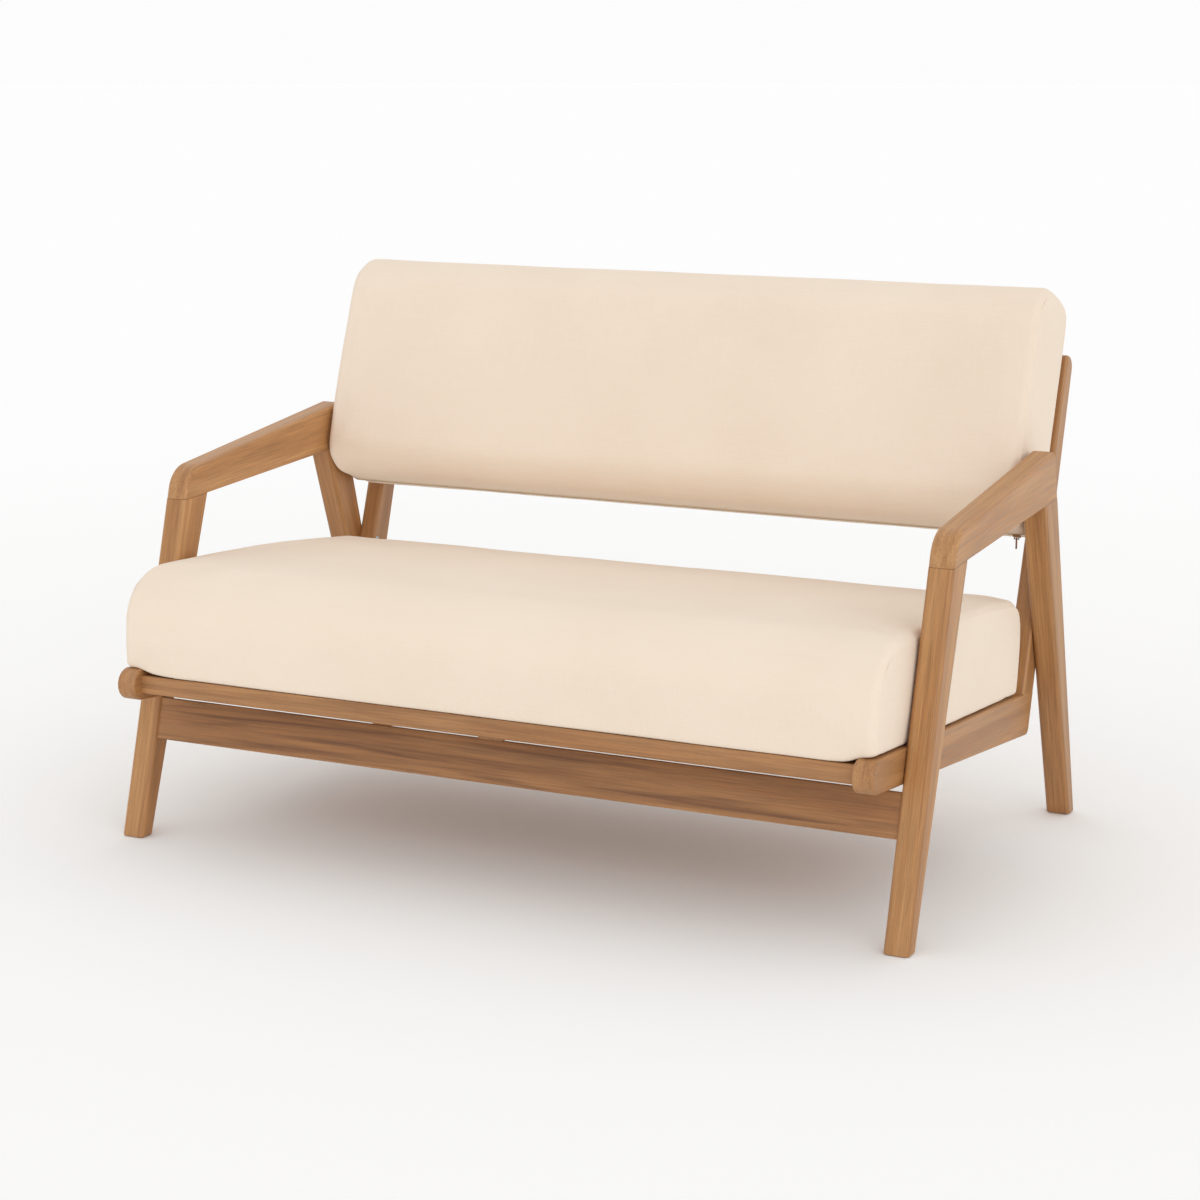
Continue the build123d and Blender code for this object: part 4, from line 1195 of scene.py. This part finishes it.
def clear_ray(tree):
    """1 for rays from the camera, a mirror or clear glass, which see the plain background."""
    path = add(tree, "LightPath")
    links = {0: path.outputs["Is Camera Ray"], 1: path.outputs["Is Glossy Ray"]}
    seen = add(tree, "Math", links, operation="MAXIMUM").outputs[0]
    links = {0: seen, 1: path.outputs["Is Transmission Ray"]}
    return add(tree, "Math", links, operation="MAXIMUM").outputs[0]


def studio_floor():
    """Plain pale paint, with painted shade that darkens it close to the object, and lifted a
    little to the camera.
    """
    material, tree = new_material("painted_studio_floor")
    place = add(tree, "TexCoord").outputs["Object"]
    reach = add(tree, "VectorMath", {0: place}, operation="LENGTH").outputs["Value"]
    links = {"Value": reach, "From Min": FLOOR_NEAR, "From Max": FLOOR_FAR}
    share = add(tree, "MapRange", links).outputs[0]
    # Painted shade round the object: the paint is a little darker near it
    tones = ((0.0, "#FBFBFA"), (0.5, "#FEFEFE"), (1.0, "#FFFFFF"))
    colour = add(tree, "ValToRGB", {"Fac": share}, tones).outputs[0]
    paint = add(tree, "BsdfDiffuse", {"Color": colour, "Roughness": 0.0})
    links = {0: clear_ray(tree), 1: FLOOR_LIFT}
    lift = add(tree, "Math", links, operation="MULTIPLY").outputs[0]
    glow = add(tree, "Emission", {"Color": linear("#FFFFFF"), "Strength": lift})
    both = add(tree, "AddShader", {0: paint.outputs[0], 1: glow.outputs[0]})
    add(tree, "OutputMaterial", {"Surface": both.outputs[0]})
    turns = [math.tau * i / FLOOR_SIDES for i in range(FLOOR_SIDES)]
    ring = [(FLOOR_RADIUS * math.cos(a), FLOOR_RADIUS * math.sin(a), 0.0) for a in turns]
    mesh = bpy.data.meshes.new("studio_floor")
    mesh.from_pydata(ring, [], [tuple(range(FLOOR_SIDES))])
    mesh.materials.append(material)
    floor = bpy.data.objects.new("studio_floor", mesh)
    bpy.context.scene.collection.objects.link(floor)


studio_floor()

world = bpy.data.worlds.new("studio_air")
bpy.context.scene.world = world
world.use_nodes = True
world.node_tree.nodes.clear()
air = world.node_tree
way = add(air, "TexCoord").outputs["Generated"]
rise = add(air, "SeparateXYZ", {0: way}).outputs["Z"]
glow = add(air, "MapRange", {"Value": rise, "To Min": HORIZON, "To Max": ZENITH}).outputs[0]
links = {"Value": clear_ray(air), "To Min": glow, "To Max": CLEAR}
level = add(air, "MapRange", links).outputs[0]
back = add(air, "Background", {"Color": linear("#FFFFFF"), "Strength": level})
add(air, "OutputWorld", {"Surface": back.outputs[0]})


def soft_lamp(name, azimuth, height, strength, spread):
    """A wide soft source, by its compass angle from the front, height and spread in degrees."""
    data = bpy.data.lights.new(name, "SUN")
    data.energy = strength
    data.angle = math.radians(spread)
    lamp = bpy.data.objects.new(name, data)
    way = Vector(
        (
            math.sin(math.radians(azimuth)) * math.cos(math.radians(height)),
            -math.cos(math.radians(azimuth)) * math.cos(math.radians(height)),
            math.sin(math.radians(height)),
        )
    )
    lamp.rotation_euler = way.to_track_quat("Z", "Y").to_euler()
    bpy.context.scene.collection.objects.link(lamp)


# The key light is low at the front right, and so wide that its shadows have no edge
soft_lamp("key", azimuth=45, height=18, strength=0.42, spread=50)

bpy.context.scene.view_settings.view_transform = "Standard"
